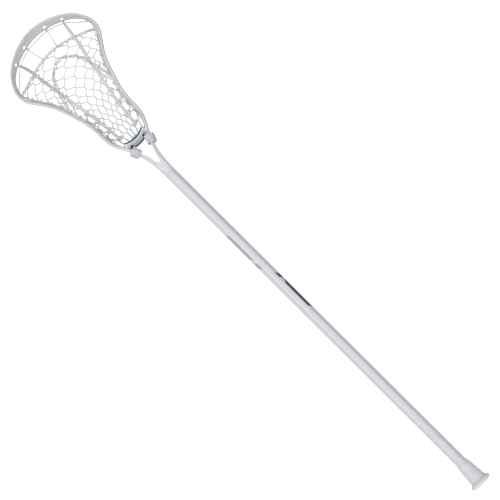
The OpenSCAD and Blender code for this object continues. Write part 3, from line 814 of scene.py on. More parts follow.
def build_shaft():
    g = Geo()
    x0, x1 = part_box("handle_shaft")[0].x * 1000, JX
    o = rounded_octagon(SH_W, SH_D, 3.0)
    i = rounded_octagon(SH_W - 2 * SH_T, SH_D - 2 * SH_T, 2.15)
    sc = lambda r, k: r * (1 - k / np.linalg.norm(r, axis=1))[:, None]
    xs = [x0, x0 + 0.4] + list(np.linspace(x0 + 12, x1 - 12, 60)) + [x1 - 0.45, x1 - 0.12, x1]
    rs = [sc(o, 0.3), o] + [o] * 60 + [o, sc(o, 0.12), sc(o, 0.4)]
    xs += [x1, x1 - 0.4] + [x0 + 0.4, x0]
    rs += [sc(i, -0.25), i, i, sc(i, -0.2)]
    rings = [np.column_stack([np.full(len(r), x), r]) for x, r in zip(xs, rs)]
    rings_mesh(g, rings, closed=True)
    ob = g.object("handle_shaft_skin")
    cut = Geo()
    hole_cutter(cut, np.array([JX - 22, 0, -12.0]), np.array([0, 0, 1.0]), 2.1, 9, 32)
    boolean(ob, cut.object("cut"))
    return ob


shaft = build_shaft()
finish_piece(shaft, "handle_shaft", M_SHAFT)

# ------------------------------------------------------------------ butt cap
CAP_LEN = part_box("end_cap")[1].x * 1000


def build_cap():
    g = Geo()
    n = 7
    prof = np.array([[4.6, 16.6, 1], [6.0, 15.9, 1], [8.5, 15.4, 1], [12, 15.05, 1], [20, 14.4, 1], [30, 13.65, 0.92], [39, 12.9, 0.6], [CAP_LEN - 1.2, 11.7, 0.12]])
    P = spline(prof, np.linspace(0, len(prof) - 1, 60))
    xs, rs = [], []

    def even(poly, m=112):
        """The same outline with its points at even angles, so that it blends to a true circle."""
        poly = np.asarray(poly, float)
        d = np.concatenate([np.linspace(a, b, 10, endpoint=False) for a, b in zip(poly, np.roll(poly, -1, axis=0))])
        th = np.linspace(-np.pi, np.pi, m, endpoint=False)
        r = np.interp(th, np.arctan2(d[:, 1], d[:, 0]), np.linalg.norm(d, axis=1), period=2 * np.pi)
        return np.column_stack([np.cos(th) * r, np.sin(th) * r])

    def ring(x, w, blend):
        o = even(rounded_octagon(2 * w, 2 * w + SH_D - SH_W, 4.0, n))
        ang = np.arctan2(o[:, 1], o[:, 0])
        c = np.column_stack([np.cos(ang), np.sin(ang)]) * w
        f = min(1, max(0, blend))
        xs.append(x)
        rs.append(o * (1 - f) + c * f)

    R = 20.5
    T = 5.0
    # closed end: from the centre out, round the flange, then up the sleeve and over the lip into the mouth
    for rr in (0.04, 1, 4, 8, 13, R - 2.4):
        ring(0.0, rr, 1)
    for a in np.linspace(90, -90, 13)[1:-1]:
        a = math.radians(a)
        ring(2.5 - 2.5 * math.sin(a), R - 2.4 + 2.4 * math.cos(a), 1)
    ring(T, R - 2.6, 1)
    ring(T + 0.05, R - 3.1, 1)
    for a in np.linspace(0, 90, 7)[1:]:
        a = math.radians(a)
        ring(T + 1.6 * (1 - math.cos(a)) , R - 3.1 - 1.2 * math.sin(a) , 1)
    for x, w, b in P[8:]:
        ring(x, w, b)
    # lip, rounded over into the mouth
    for x, w in ((CAP_LEN - 0.55, 11.66), (CAP_LEN - 0.15, 11.4), (CAP_LEN, 11.05)):
        ring(x, w, 0)
    inner = even(rounded_octagon(SH_W + 0.3, SH_D + 0.3, 3.0, n))
    for x in (CAP_LEN, CAP_LEN - 0.3, 8.0, 3.9):
        xs.append(x)
        rs.append(inner)
    P0 = [np.column_stack([np.full(len(r), x), r]) for x, r in zip(xs, rs)]
    rings_mesh(g, P0)
    return g.object("end_cap_skin")


cap = build_cap()
finish_piece(cap, "end_cap", M_RUBBER)

# ------------------------------------------------------------------ foam of the base
def build_foam(name, prof, half, bulge=0.0):
    g = Geo()
    sector(g, prof, half, 60)
    return g.object(name)


pad = build_foam("ball_stop_pad_skin", rect(STOP_R - 2.2, STOP_R - 0.2, BASE_BOT + 1, BASE_TOP - 0.4, 0.5), 33)
finish_piece(pad, "ball_stop_pad", M_FOAM)
# dark foam in the channel behind the base; besides being foam, its darkness stands in for the shade in that recess
foam = build_foam("base_foam_skin", rect(STOP_R + 3, STOP_R + STOP_W + 0.7, BASE_BOT + 4, BASE_TOP - 7.6, 0.8), 20.5)
cut = Geo()
for k in both(LASH_T):
    c, qx, up, al = lash_axes(k)
    box_cutter(cut, c, qx, up, al, 8.6 + 4 * LASH_R + 1, 60, 7.52 * LASH_R + 1.6)
boolean(foam, cut.object("cut"))
finish_piece(foam, "base_foam", M_FOAM)

# ------------------------------------------------------------------ head screw
def build_screw():
    g = Geo()
    cx, z0 = JX - 22, -SH_D / 2 - 2.4
    prof = [(0.0, 0.05), (1.6, 0.02), (2.7, 0.12), (3.4, 0.45), (3.9, 1.0), (4.1, 1.5), (4.1, 2.1), (3.95, 2.3), (2.2, 2.3), (1.9, 2.45)]
    sides = 48
    rings = [[(cx + max(r, 0.02) * math.cos(a), r * math.sin(a) if r else 0.02 * math.sin(a), z0 + z) for a in np.linspace(0, 2 * math.pi, sides, endpoint=False)] for r, z in prof]
    # thread-forming shank
    for z in np.arange(2.6, 14.0, 0.22):
        rr = []
        for a in np.linspace(0, 2 * math.pi, sides, endpoint=False):
            ph = ((z / 1.6) - a / (2 * math.pi)) % 1.0
            rad = 1.45 + 0.43 * max(0.0, 1 - abs(ph - 0.5) * 3.2)
            rr.append((cx + rad * math.cos(a), rad * math.sin(a), z0 + z))
        rings.append(rr)
    for z, r in ((14.6, 1.3), (16.2, 0.9), (17.0, 0.15)):
        rings.append([(cx + r * math.cos(a), r * math.sin(a), z0 + z) for a in np.linspace(0, 2 * math.pi, sides, endpoint=False)])
    rings_mesh(g, [r[::-1] for r in rings])
    ob = g.object("head_screw_skin")
    cut = Geo()
    for k in (0, 90):
        a = math.radians(k)
        X, Y = np.array([math.cos(a), math.sin(a), 0]), np.array([-math.sin(a), math.cos(a), 0])
        c = np.array([cx, 0, z0])
        rings = [[c + X * x * s + Y * y * s + np.array([0, 0, zz]) for x, y in ((-2.1, -0.45), (2.1, -0.45), (2.1, 0.45), (-2.1, 0.45))] for zz, s in ((-1, 1.0), (0.0, 1.0), (1.3, 0.5))]
        rings_mesh(cut, rings)
        boolean(ob, cut.object("cut"))
        cut = Geo()
    return ob


screw = build_screw()
finish_piece(screw, "head_screw", M_STEEL, smooth=False)
for p in screw.data.polygons:
    p.use_smooth = p.center.z > -0.0120 or abs(p.normal.z) < 0.9

# ------------------------------------------------------------------ netting
U0, PITCH, NROW = 293.0, 11.9, 16
BS = [[77, 23.5, -19.0], [80, 21.0, -20.2], [84.4, 16, -22.6], [87.8, 8, -25.4], [88.4, 0, -26.2], [87.8, -8, -25.4], [84.4, -16, -22.6], [80, -21.0, -20.2], [77, -23.5, -19.0]]
C_A = [108, 117, 142, 167, 187, 210, 237, 282, 294]
C_V = [-0.09, -0.09, -0.08, -0.04, 0.04, 0.19, 0.26, 0.09, 0.05]


def net_place(j, k, du=0.0):
    """Lattice place (row, column) of the netting to (a, y)."""
    x = k / 3.0
    q = abs(x)
    a = U0 - PITCH * j - 19.0 * x * x * max(0.0, 1 - j / 6.0) + du
    lim = 98.0 + 14.0 * q ** 3
    if j >= 13:
        a = max(a, lim + (NROW - j) * 6.0 * q ** 3)
    a = max(a, lim)
    c = float(np.interp(a, C_A, C_V))
    w = float(half_in(a)) - (0.9 if q > 0.99 else 2.4)
    return a, -w * x * (1 + c * (1 - x * x))


JIT = {}


def jitter(j, k):
    if (j, k) not in JIT:
        JIT[(j, k)] = RNG.normal(0, 0.55, 2)
    return JIT[(j, k)]


def bar_ends(j, k):
    x = abs(k) / 3.0
    b = float(np.interp(j, [0, 8, 16], [3.6, 4.6, 6.4])) if j % 2 == 1 else float(np.interp(j, [0, 8, 16], [2.2, 2.6, 2.8]))
    if j == 0:
        b = 1.4
    if x > 0.99 and j < 11:
        b = 0.7
    jt = jitter(j, k) * (1 if x < 0.99 else 0.2)
    a, y = net_place(j, k)
    # no bar reaches past the upper shooting string
    ta = min(a + b + jt[0], float(np.interp(abs(y), [0, 24, 42, 55, 70, 80, 90], [292.2, 290.2, 287, 282.5, 276, 271, 266])))
    ba = min(a - b + jt[0], ta - 1.2)
    return (ta, y + jt[1]), (ba, y + jt[1] * 0.6)


def columns(j):
    return [float(k) for k in range(-3, 4)] if j % 2 == 1 else [k + 0.5 for k in range(-3, 3)]


def over(p, q, n=9, bow=0.0, up=-1.0):
    """A strand from p to q, laid on the netting surface."""
    s = np.linspace(0, 1, n)
    a = p[0] + (q[0] - p[0]) * s
    y = p[1] + (q[1] - p[1]) * s
    return net(a, y, up - bow * np.sin(np.pi * s))


def build_net():
    g = Geo()
    for j in range(0, NROW + 1):
        for k in columns(j):
            top, bot = bar_ends(j, k)
            if abs(k) > 2.9 and j < 11:
                continue
            # two yarns wound round each other along the bar
            n = 14
            s = np.linspace(0, 1, n)
            a = top[0] + (bot[0] - top[0]) * s
            y = top[1] + (bot[1] - top[1]) * s
            turns = 1.5 if top[0] - bot[0] > 7 else 1.0
            for ph in (0, math.pi):
                w = ph + 2 * math.pi * turns * s * 0.5 * 2
                env = 0.35 + 0.65 * np.sin(np.pi * np.clip(s, 0.08, 0.92))
                P = net(a, y + 0.85 * env * np.cos(w), -1.0 + 0.75 * env * np.sin(w))
                cord(g, P, 1.22, sides=10, step=0.9, ply=2, pitch=3.6, lobe=0.035)
            if j < NROW:
                for d in (-0.5, 0.5):
                    kk = k + d
                    if kk in columns(j + 1):
                        nt, _ = bar_ends(j + 1, kk)
                        e = 1.0 if d < 0 else -1.0
                        P = over((bot[0] + 0.6, bot[1] + 0.5 * e), (nt[0] - 0.6, nt[1] - 0.4 * e), 12, 0.25)
                        s2 = np.linspace(0, 1, len(P))
                        P[:, 1] += 0.35 * np.sin(2 * np.pi * s2) * e
                        cord(g, P, 1.34, sides=10, step=0.9, ply=2, pitch=4.0, lobe=0.03)
    # lower edge: strands gathered down and looped over the bottom string
    bsy = np.array(BS)[::-1]
    for k in columns(NROW):
        _, bot = bar_ends(NROW, k)
        if abs(k) > 2.6:
            continue
        yb = bot[1] * 0.80
        ab = float(np.interp(yb, bsy[:, 1], bsy[:, 0]))
        zb = float(np.interp(yb, bsy[:, 1], bsy[:, 2]))
        for d in (-0.9, 0.9):
            P = np.vstack([net(bot[0] + 0.4, bot[1] + d * 0.5, -1.0), net((bot[0] * 2 + ab) / 3, (bot[1] * 2 + yb) / 3 + d * 0.9, -0.8),
                           [JX + ab + 3.4, yb + d * 1.1, zb + 1.6], [JX + ab + 0.4, yb + d * 1.1, zb + 2.3], [JX + ab - 2.0, yb + d, zb + 0.2],
                           [JX + ab - 0.4, yb + d * 0.8, zb - 2.2], [JX + ab + 2.2, yb + d * 0.5, zb - 1.2]])
            cord(g, smooth_path(P, 8), 0.85, sides=9, step=0.8, ply=2, pitch=3.6, lobe=0.08)
    return g.object("mesh_pocket_netting")


netting = build_net()
finish_piece(netting, "mesh_pocket", M_NET)

# ------------------------------------------------------------------ runners
RUN_L = [[309, 51.2], [291, 45.8], [268, 43.0], [238, 38.2], [223, 36.0], [203, 33.0], [183, 30.0], [160, 26.4], [148, 24.6], [128, 22.8], [113, 21.2], [100, 19.4]]
RUN_R = [[309, 52.6], [273, 47.6], [253, 42.8], [233, 38.4], [213, 35.0], [196, 31.4], [173, 27.2], [153, 23.6], [128, 20.6], [113, 18.6], [100, 16.8]]


def lip(a):
    return np.interp(a, [270, 300, 330], [-8.6, 1.2, 7.6])


def runner_path(ctrl, s):
    c = smooth_path(ctrl, 14)
    a, y = c[:, 0], s * c[:, 1]
    z = net(a, y, 1.15)
    nrm = net_normal(a, y)
    f = np.clip((a - 283) / 26, 0, 1)
    top = np.stack([JX + a, y, lip(a) - 2.2], -1)
    zz = z.copy()
    base = net(np.full_like(a, 283.0), y, 1.15)[:, 2]
    hi = a > 283
    zz[hi] = np.stack([JX + a[hi], y[hi], base[hi] * (1 - f[hi]) + (lip(a[hi]) - 3.0) * f[hi]], -1)
    # the thong dips and rises as the netting crosses it
    wv = 0.35 * np.cos(2 * np.pi * (a - 193.0) / 23.5)
    zz[:, 2] += np.where(a < 270, wv, 0)
    nrm[hi] = np.array([0, 0, 1.0])
    return zz, nrm, a, y


def build_runner(name, ctrl, s, loops):
    g = Geo()
    P, U, a, y = runner_path(ctrl, s)
    d = np.concatenate([[0], np.cumsum(np.linalg.norm(np.diff(P, axis=0), axis=1))])
    n = int(d[-1] / 0.9)
    ss = np.linspace(0, d[-1], n)
    Q = np.stack([np.interp(ss, d, P[:, k]) for k in range(3)], 1)
    UU = np.stack([np.interp(ss, d, U[:, k]) for k in range(3)], 1)
    aa = np.interp(ss, d, a)
    T, A, B = frames(Q, up=UU)
    half = np.full(n, 3.25)
    for l in loops:
        half -= 0.55 * np.exp(-((aa - l) / 2.6) ** 2)  # drawn in where a strand crosses
    half -= 0.9 * np.exp(-((aa - 309) / 5.0) ** 2)
    K = 28
    th = np.linspace(0, 2 * np.pi, K, endpoint=False)
    cx = np.sign(np.cos(th)) * np.abs(np.cos(th)) ** 0.55
    cy = np.sign(np.sin(th)) * np.abs(np.sin(th)) ** 0.75
    rib = 1 + 0.05 * np.cos(2 * np.pi * ss / 1.8)[:, None] * np.abs(np.sin(th))[None]
    thick = 0.72 * (1 + 0.25 * np.exp(-((aa - 309) / 5.0) ** 2))
    R = Q[:, None] + A[:, None] * (half[:, None] * cx[None])[..., None] + B[:, None] * (thick[:, None] * rib * cy[None])[..., None]
    rings_mesh(g, R, lengths=ss)
    return g.object(name), (P, U, a, y)


LOOPS_L = [278.5, 248.5, 230.0, 200.0, 177.0, 153.5, 128.5, 106.0]
LOOPS_R = [279.5, 246.5, 225.0, 199.0, 176.0, 153.0, 128.5, 105.0]
run_l, pl = build_runner("left_runner_strap", RUN_L, 1, LOOPS_L)
run_r, pr = build_runner("right_runner_strap", RUN_R, -1, LOOPS_R)
finish_piece(run_l, "left_runner", M_RUNNER)
finish_piece(run_r, "right_runner", M_RUNNER)


def runner_loops(name, info, loops, s):
    """Strands of the netting that cross over a runner."""
    g = Geo()
    P, U, a, y = info
    for i, l in enumerate(loops):
        idx = int(np.argmin(np.abs(a - l)))
        yc = y[idx]
        w = 5.7
        for dx, r in ((-0.95, 0.95), (0.95, 0.95)):
            th = np.linspace(0, 2 * np.pi, 36, endpoint=False)
            ct, st = np.cos(th), np.sin(th)
            k = (np.abs(ct) ** 3 + np.abs(st) ** 3) ** (-1.0 / 3)
            yy = yc + (w - 0.6 * abs(dx)) * ct * k
            au = l + dx * (0.35 + 0.65 * np.abs(ct)) + 0.9 * ct ** 2
            up = 0.15 + 2.25 * st * k
            cord(g, net(au, yy, up), r, sides=10, step=0.7, ply=2, pitch=3.2, lobe=0.05, closed=True)
    ob = g.object(name)
    ob.data.materials.append(M_NET)
    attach(ob, BODY)
    return ob


runner_loops("left_runner_crossings", pl, LOOPS_L, 1)
runner_loops("right_runner_crossings", pr, LOOPS_R, -1)

# ------------------------------------------------------------------ laced cords
def twin(geo, ctrl, up, r=1.15, amp=1.25, pitch=13.0, phase=0.0, n=26, amp_z=0.7, surf=True):
    """Two cords crossing over each other along a path over the netting."""
    c = smooth_path(ctrl, n)
    d = np.concatenate([[0], np.cumsum(np.linalg.norm(np.diff(c, axis=0), axis=1))])
    t = np.gradient(c, axis=0)
    t /= np.linalg.norm(t, axis=1)[:, None]
    side = np.stack([-t[:, 1], t[:, 0]], 1)
    e = np.clip(np.minimum(d, d[-1] - d) / 6.0, 0, 1)
    for ph in (0.0, math.pi):
        w = 2 * np.pi * d / pitch + phase + ph
        off = side * (amp * e * np.cos(w))[:, None]
        P = net(c[:, 0] + off[:, 0], c[:, 1] + off[:, 1], up + amp_z * np.sin(w))
        cord(geo, P, r, sides=12, step=0.75, ply=3, pitch=4.0, lobe=0.12, phase=ph)


UP_SHOOT = [[273.5, 86.4], [279, 70], [283.5, 55], [287.5, 42], [290.5, 24], [292.2, 8], [292.2, -8], [290, -22], [285.5, -40], [280, -56], [274.5, -68], [267.5, -86.2]]
LO_SHOOT = [[200, 48.0], [217, 43.8], [232, 38.8], [245, 33.2], [256, 28.0], [265, 20.2], [271, 9], [273.5, -1.5], [272, -11], [265, -20.4], [257, -28.2], [247, -33.2], [233, -37.6], [220, -42.2], [206, -45.8], [195, -47.6]]
g = Geo()
twin(g, UP_SHOOT, 2.1, r=1.4, amp=1.7, pitch=18.0, phase=0.6)
ob = g.object("upper_shooting_string_cords")
finish_piece(ob, "upper_shooting_string", M_SHOOT)
g = Geo()
twin(g, LO_SHOOT, 3.4, r=1.45, amp=2.0, pitch=24.0, phase=0.2, amp_z=0.6)
ob = g.object("lower_shooting_string_cords")
finish_piece(ob, "lower_shooting_string", M_SHOOT)


def wall_loop(geo, t, f_hole, r=1.05, at_rail=True, shift=0.0):
    """A turn of cord through a hole in the rear rail or scoop and round its lower edge."""
    row = at(t)[0]
    p, q, w = local_axes(t)
    zt, zb, ln, th = row[2], row[3], row[4], row[5]
    Z = np.array([0, 0, 1.0])
    if at_rail:
        zc = zb + 3.2
        f = (zt - zc) / (zt - zb)
        mid = ln * f
        pts = [(mid - r - 0.1, zc), (mid + 2.0, zc + 0.1), (mid + th * 0.9 + r + 0.2, zc - 0.2), (ln + th * 0.9 + r, zb + 0.6), (ln + th * 0.45, zb - r - 0.1), (ln - r * 0.9, zb + 0.5)]
        P = [p + q * n + Z * z for n, z in pts]
    else:
        c, zu, zl, n0 = eyelet(t, f_hole)
        m = n0 + EYELET_R - r - 0.1
        e = ln + th
        slope = (zt - zb) / ln
        top = zt - (m - th) * slope
        low = max(zb, zt - m * slope)
        prof = [(m, (top + low) / 2), (m + 0.1, top + 0.2), (m + r * 0.9 + 0.3, top + r * 0.2), ((m + e) / 2 + r * 1.1, (top + zb) / 2 + r * 0.8), (e + r + 0.1, zb + 2.0), (e + r * 0.6, zb - r * 0.7), (e - th * 0.5, zb - r - 0.2), ((m + e - th) / 2, zb - r - 0.2), (m, low - 0.2)]
        P = [p + q * n + Z * z for n, z in prof]
    P = np.array(P) + w * shift
    m = len(P)
    tt = np.linspace(0, m, m * 8, endpoint=False)
    ext = np.vstack([P[-1:], P, P[:3]])
    C = spline(ext, tt + 1)
    cord(geo, C, r, sides=10, step=0.7, ply=3, pitch=3.6, lobe=0.12, closed=True)


# top string, laced through the scoop
g = Geo()
TOP = [[280.5, 86.0], [294, 70.6], [308.4, 54.2], [314.4, 40], [319.4, 24.0], [320.2, 8], [320.2, -8], [319.4, -24.0], [314.4, -40], [308.4, -54.2], [294, -70.6], [280.5, -86.0]]
knots = [i for i, c in enumerate(TOP) if abs(abs(c[1]) - 54.2) < 0.1 or abs(abs(c[1]) - 24) < 0.1]
tp = []
for i in range(len(TOP) - 1):
    p0, p1 = np.array(TOP[i]), np.array(TOP[i + 1])
    for s in np.linspace(0, 1, 8, endpoint=False):
        tp.append(p0 + (p1 - p0) * s)
tp = np.array(tp + [np.array(TOP[-1])])
P = np.stack([JX + tp[:, 0], tp[:, 1], lip(tp[:, 0])], 1)
cord(g, P, 1.38, sides=14, step=0.7, ply=3, pitch=4.0, lobe=0.06)
for t0, f in SCOOP_HOLES:
    for k in both(t0):
        wall_loop(g, k, f, r=0.95, at_rail=False, shift=-0.95)
        wall_loop(g, k, f, r=0.95, at_rail=False, shift=0.95)
        # two turns from the eyelet's lacing round the string
        row = at(k)[0]
        pp, qq, ww = local_axes(k)
        edge = pp + qq * (row[4] + row[5] + 1.0) + np.array([0, 0, row[3] + 1.6])
        j = int(np.argmin(np.linalg.norm(P[:, :2] - edge[:2], axis=1)))
        for sh in (-0.95, 0.95):
            A1, B1 = edge + ww * sh, P[j] + ww * sh
            ax = (B1 - A1) / np.linalg.norm(B1 - A1)
            up = np.array([0, 0, 1.0])
            ring = [A1 - ax * 0.9, A1 + up * 1.5 + ax * 0.4, (A1 + B1) / 2 + up * 1.35, B1 + up * 1.75, B1 + ax * 2.1, B1 - up * 1.75, (A1 + B1) / 2 - up * 1.35, A1 - up * 1.5 + ax * 0.4]
            m8 = len(ring)
            ext = np.vstack([ring[-1:], ring, ring[:3]])
            cord(g, spline(ext, np.linspace(0, m8, m8 * 8, endpoint=False) + 1), 0.85, sides=10, step=0.7, ply=3, pitch=3.6, lobe=0.07, closed=True)
for s in (-1, 1):
    # ends tied at the corners of the scoop
    e = P[0] if s > 0 else P[-1]
    tc = np.linspace(0, 2 * np.pi, 20, endpoint=False)
    for dz in (-0.9, 0.9):
        C = np.stack([e[0] - 0.2 + 1.9 * np.cos(tc) * 0.75, e[1] + s * (-0.6) + 1.9 * np.cos(tc) * 0.66 * s, e[2] + dz + 1.5 * np.sin(tc)], 1)
        cord(g, C, 0.85, sides=9, step=0.6, ply=3, pitch=3.2, closed=True)
ob = g.object("top_string_cord")
finish_piece(ob, "top_string", M_CORD)

# hanger cords
for s, node in ((1, "left_hanger_cord"), (-1, "right_hanger_cord")):
    g = Geo()
    x = 22.6 if s > 0 else 23.0
    c = [[318.6, x], [311, x - 1.5], [302, x - 3.6], [295, x - 5.8], [291.8, x - 6.6]]
    P = np.array([[JX + p[0], s * p[1], lip(p[0]) * 1.0] for p in c])
    P[0, 2] -= 0.4
    P[-1, 2] = net(291.5, s * c[-1][1], 1.9)[2]
    P[-2, 2] = (P[-1, 2] + P[-3, 2]) / 2 - 0.6
    cord(g, smooth_path(P, 12), 1.38, sides=12, step=0.7, ply=3, pitch=3.8, lobe=0.06)
    for e, rr in ((P[0], 1.9), (P[-1], 2.1)):
        tc = np.linspace(0, 2 * np.pi, 22, endpoint=False)
        C = np.stack([e[0] + rr * np.cos(tc), np.full(22, e[1]) + 0.5 * np.sin(tc), e[2] + rr * 0.95 * np.sin(tc)], 1)
        cord(g, C, 0.8, sides=9, step=0.6, ply=3, pitch=3.2, closed=True)
    ob = g.object(node + "_twine")
    finish_piece(ob, node, M_CORD)

# sidewall strings: along the rear rails, with a turn through every hole
for s, node in ((1, "left_sidewall_string"), (-1, "right_sidewall_string")):
    g = Geo()
    a = np.linspace(100, 271, 172)
    tuck = np.clip((a - 264) / 7, 0, 1) + np.clip((104 - a) / 4, 0, 1)
    y = s * (half_in(a) - 1.5 - 0.6 * np.abs(np.sin(np.pi * (a - 103) / 12.6)) + 4.2 * tuck)
    z = rail_z(a) + 4.6 + 0.5 * np.cos(2 * np.pi * (a - 103) / 12.6)
    cord(g, np.stack([JX + a, y, z], 1), 1.05, sides=12, step=0.75, ply=3, pitch=3.8, lobe=0.09)
    for t0 in RAIL_HOLES:
        k = NC - 1 - t0 if s > 0 else t0
        wall_loop(g, k, 0, r=0.95)
        # a turn round the string at each hole
        row = at(k)[0]
        aa, yy = row[0], float(half_in(row[0])) - 2.6
        zc = float(rail_z(row[0])) + 4.6
        tc = np.linspace(0, 2 * np.pi, 18, endpoint=False)
        pp, qq, ww = local_axes(k)
        for d in (-0.8, 0.8):
            cc = pp + qq * (row[4] + row[5] * 0.9 + 1.5) + ww * d + np.array([0, 0, zc])
            C = cc[None] + qq[None] * (2.3 * np.cos(tc))[:, None] + np.array([0, 0, 1.0])[None] * (1.7 * np.sin(tc))[:, None]
            cord(g, C, 0.75, sides=9, step=0.6, ply=3, pitch=3.2, closed=True)
    ob = g.object(node + "_lacing")
    finish_piece(ob, node, M_CORD)

# bottom string behind the base
g = Geo()
P = smooth_path([[JX + p[0], p[1], p[2]] for p in BS], 10)
for ph in (0.0, math.pi):
    d = np.linspace(0, 1, len(P))
    Q = P.copy()
    Q[:, 0] += 0.7 * np.cos(2 * np.pi * 5 * d + ph)
    Q[:, 2] += 0.7 * np.sin(2 * np.pi * 5 * d + ph)
    cord(g, Q, 0.85, sides=10, step=0.7, ply=3, pitch=3.6)
ob = g.object("bottom_string_cord")
finish_piece(ob, "bottom_string", M_CORD)

# ------------------------------------------------------------------ lashings wound round the throat struts
def build_lashing(node, t0, s):
    g = Geo()
    c, q, up, al = lash_axes(t0)
    if s > 0:
        al = al
    row = at(t0)[0]
    hw, hh = row[5] / 2 + 0.2, (row[2] - row[3]) / 2 + 1.2

    def stadium(th, ex):
        """Superellipse round the strut, standing ex outside it."""
        n = 3.6
        ct, st = np.cos(th), np.sin(th)
        k = (np.abs(ct) ** n + np.abs(st) ** n) ** (-1.0 / n)
        return (hw + ex) * ct * k, (hh + ex) * st * k - 0.6

    r1 = 1.95
    turns = 4.0
    th = np.linspace(0, 2 * np.pi * turns, int(90 * turns))
    pos = (th / (2 * np.pi) - turns / 2) * 3.9
    x, z = stadium(th, r1 + 0.3)
    # the wound cord swells over the layer below in the middle turns
    swell = 1.1 * np.exp(-((pos) / 4.6) ** 2) + 0.4
    x = x + np.cos(th) * swell
    z = z + np.sin(th) * swell * 0.6
    P = c[None] + q[None] * x[:, None] + up[None] * z[:, None] + al[None] * pos[:, None]
    cord(g, P, r1, sides=20, step=0.75, ply=3, pitch=6.4, lobe=0.13)
    # under layer, so the strut doesn't show between the turns
    th = np.linspace(0, 2 * np.pi * 3.4, 260)
    pos = (th / (2 * np.pi) - 1.7) * 4.6
    x, z = stadium(th + 1.2, 1.1)
    P = c[None] + q[None] * x[:, None] + up[None] * z[:, None] + al[None] * pos[:, None]
    cord(g, P, 1.1, sides=12, step=0.8, ply=3, pitch=4.0, lobe=0.12)
    # a crossing turn and a tucked tail
    th = np.linspace(-0.5, 2 * np.pi * 0.62, 60)
    x, z = stadium(th, 4.1)
    pos = np.linspace(-5.2, 5.6, 60)
    P = c[None] + q[None] * x[:, None] + up[None] * (z[:, None]) + al[None] * pos[:, None]
    cord(g, P, 1.5, sides=14, step=0.75, ply=3, pitch=4.8, lobe=0.13)
    ob = g.object(node + "_wrap")
    return ob


lash_r_ob = build_lashing("right_throat_lashing", LASH_T, -1)
finish_piece(lash_r_ob, "right_throat_lashing", M_LASH)
lash_l_ob = build_lashing("left_throat_lashing", NC - 1 - LASH_T, 1)
finish_piece(lash_l_ob, "left_throat_lashing", M_LASH)

# ------------------------------------------------------------------ stage, light, camera
lo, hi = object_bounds()


def build_stage():
    # the floor touches the flange of the butt cap and the bottom of the pocket
    net_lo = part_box("mesh_pocket")[0].z
    cap_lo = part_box("end_cap")[0].z
    x0, z0 = 0.003, cap_lo - 0.0004
    x1, z1 = (JX + 133) / 1000.0, min(net_lo, lo.z) - 0.0004
    slope = (z1 - z0) / (x1 - x0)
    me = bpy.data.meshes.new("floor")
    n = 24
    xs = np.linspace(-6, 7, n)
    ys = np.linspace(-6, 6, n)
    vs = [(x, y, z0 + slope * (x - x0)) for x in xs for y in ys]
    fs = [(i * n + j, (i + 1) * n + j, (i + 1) * n + j + 1, i * n + j + 1) for i in range(n - 1) for j in range(n - 1)]
    me.from_pydata(vs, [], fs)
    ob = bpy.data.objects.new("floor", me)
    bpy.context.scene.collection.objects.link(ob)
    m = bpy.data.materials.new("floor")
    m.use_nodes = True
    t = m.node_tree
    t.nodes.clear()
    out = t.nodes.new("ShaderNodeOutputMaterial")
    dif = t.nodes.new("ShaderNodeBsdfDiffuse")
    dif.inputs[0].default_value = (0.93, 0.93, 0.94, 1)
    em = t.nodes.new("ShaderNodeEmission")
    em.inputs[0].default_value = (1, 1, 1, 1)
    em.inputs[1].default_value = 0.8
    add = t.nodes.new("ShaderNodeAddShader")
    t.links.new(dif.outputs[0], add.inputs[0])
    t.links.new(em.outputs[0], add.inputs[1])
    low = t.nodes.new("ShaderNodeBsdfDiffuse")
    low.inputs[0].default_value = (0.45, 0.45, 0.46, 1)
    tcf = t.nodes.new("ShaderNodeTexCoord")
    sxf = t.nodes.new("ShaderNodeSeparateXYZ")
    t.links.new(tcf.outputs["Object"], sxf.inputs[0])
    rf = t.nodes.new("ShaderNodeMapRange")
    rf.interpolation_type = "SMOOTHSTEP"
    t.links.new(sxf.outputs[1], rf.inputs[0])
    for i, v in zip((1, 2, 3, 4), (-0.24, -0.10, 0.04, 0.66)):
        rf.inputs[i].default_value = v
    t.links.new(rf.outputs[0], low.inputs[0])
    lp = t.nodes.new("ShaderNodeLightPath")
    mix = t.nodes.new("ShaderNodeMixShader")
    t.links.new(lp.outputs["Is Camera Ray"], mix.inputs[0])
    t.links.new(low.outputs[0], mix.inputs[1])
    t.links.new(add.outputs[0], mix.inputs[2])
    t.links.new(mix.outputs[0], out.inputs[0])
    me.materials.append(m)


build_stage()

world = bpy.data.worlds.new("studio")
bpy.context.scene.world = world
world.use_nodes = True
wt = world.node_tree
wt.nodes.clear()


def wmath(op, a, b=0.0, clamp=False):
    n = wt.nodes.new("ShaderNodeMath")
    n.operation, n.use_clamp = op, clamp
    for s_, v_ in ((n.inputs[0], a), (n.inputs[1], b)):
        if isinstance(v_, bpy.types.NodeSocket):
            wt.links.new(v_, s_)
        else:
            s_.default_value = v_
    return n.outputs[0]


def wramp(v, a, b, lo_, hi_):
    n = wt.nodes.new("ShaderNodeMapRange")
    n.interpolation_type = "SMOOTHSTEP"
    wt.links.new(v, n.inputs[0])
    for i, x in zip((1, 2, 3, 4), (a, b, lo_, hi_)):
        n.inputs[i].default_value = x
    return n.outputs[0]


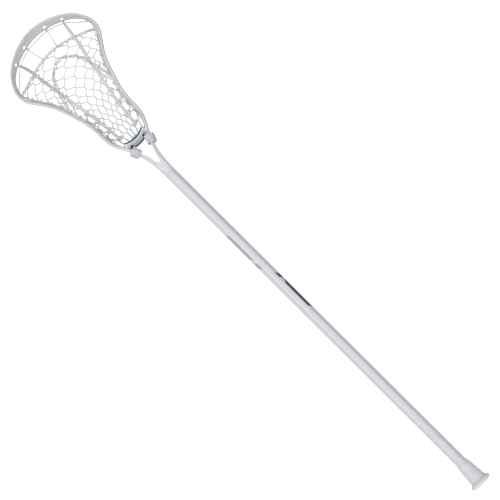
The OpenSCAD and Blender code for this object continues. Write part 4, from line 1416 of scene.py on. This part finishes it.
wo = wt.nodes.new("ShaderNodeOutputWorld")
tc = wt.nodes.new("ShaderNodeTexCoord")
sx = wt.nodes.new("ShaderNodeSeparateXYZ")
wt.links.new(tc.outputs["Generated"], sx.inputs[0])
side = wmath("MULTIPLY", wramp(sx.outputs[1], -0.6, 0.6, 0.14, 0.80), wramp(sx.outputs[0], -0.9, 0.3, 0.80, 1.0))
upf = wramp(sx.outputs[2], 0.10, 0.55, 0.0, 1.0)
strength = wmath("ADD", wmath("MULTIPLY", side, wmath("SUBTRACT", 1.0, upf)), wmath("MULTIPLY", upf, wmath("ADD", wramp(sx.outputs[0], -0.9, 0.5, 0.54, 0.88), wramp(sx.outputs[1], -0.8, -0.1, 0.24, 0.0))))
bg = wt.nodes.new("ShaderNodeBackground")
bg.inputs[0].default_value = (0.985, 0.99, 1, 1)
wt.links.new(strength, bg.inputs[1])
bg2 = wt.nodes.new("ShaderNodeBackground")
bg2.inputs[0].default_value = (1, 1, 1, 1)
bg2.inputs[1].default_value = 1.0
lp = wt.nodes.new("ShaderNodeLightPath")
mx = wt.nodes.new("ShaderNodeMixShader")
wt.links.new(lp.outputs["Is Camera Ray"], mx.inputs[0])
wt.links.new(bg.outputs[0], mx.inputs[1])
wt.links.new(bg2.outputs[0], mx.inputs[2])
wt.links.new(mx.outputs[0], wo.inputs[0])


def area(name, loc, target, size, power, size_y=None):
    l = bpy.data.lights.new(name, "AREA")
    l.energy = power
    l.size = size
    if size_y:
        l.shape = "RECTANGLE"
        l.size_y = size_y
    o = bpy.data.objects.new(name, l)
    bpy.context.scene.collection.objects.link(o)
    o.location = loc
    o.rotation_euler = (Vector(target) - Vector(loc)).to_track_quat("-Z", "Y").to_euler()
    return o


area("key", (0.60, 0.95, 3.2), (0.6, 0, 0), 2.2, 30, 1.6)

cam = bpy.data.cameras.new("camera")
cam.sensor_width = 36
DIST = 3.2
cam.lens = 36 * DIST / 0.8555
cam.clip_end = 50
co = bpy.data.objects.new("camera", cam)
bpy.context.scene.collection.objects.link(co)
ca, sa = -0.70862, 0.70560
Rv, Uv = Vector((ca, -sa, 0)), Vector((sa, ca, 0))
rot = Matrix((Rv, Uv, Vector((0, 0, 1)))).transposed()
co.matrix_world = Matrix.Translation(Vector((0.56175, -0.00257, DIST))) @ rot.to_4x4()
bpy.context.scene.camera = co
bpy.context.scene.view_settings.view_transform = "Standard"
bpy.context.scene.view_settings.look = "None"
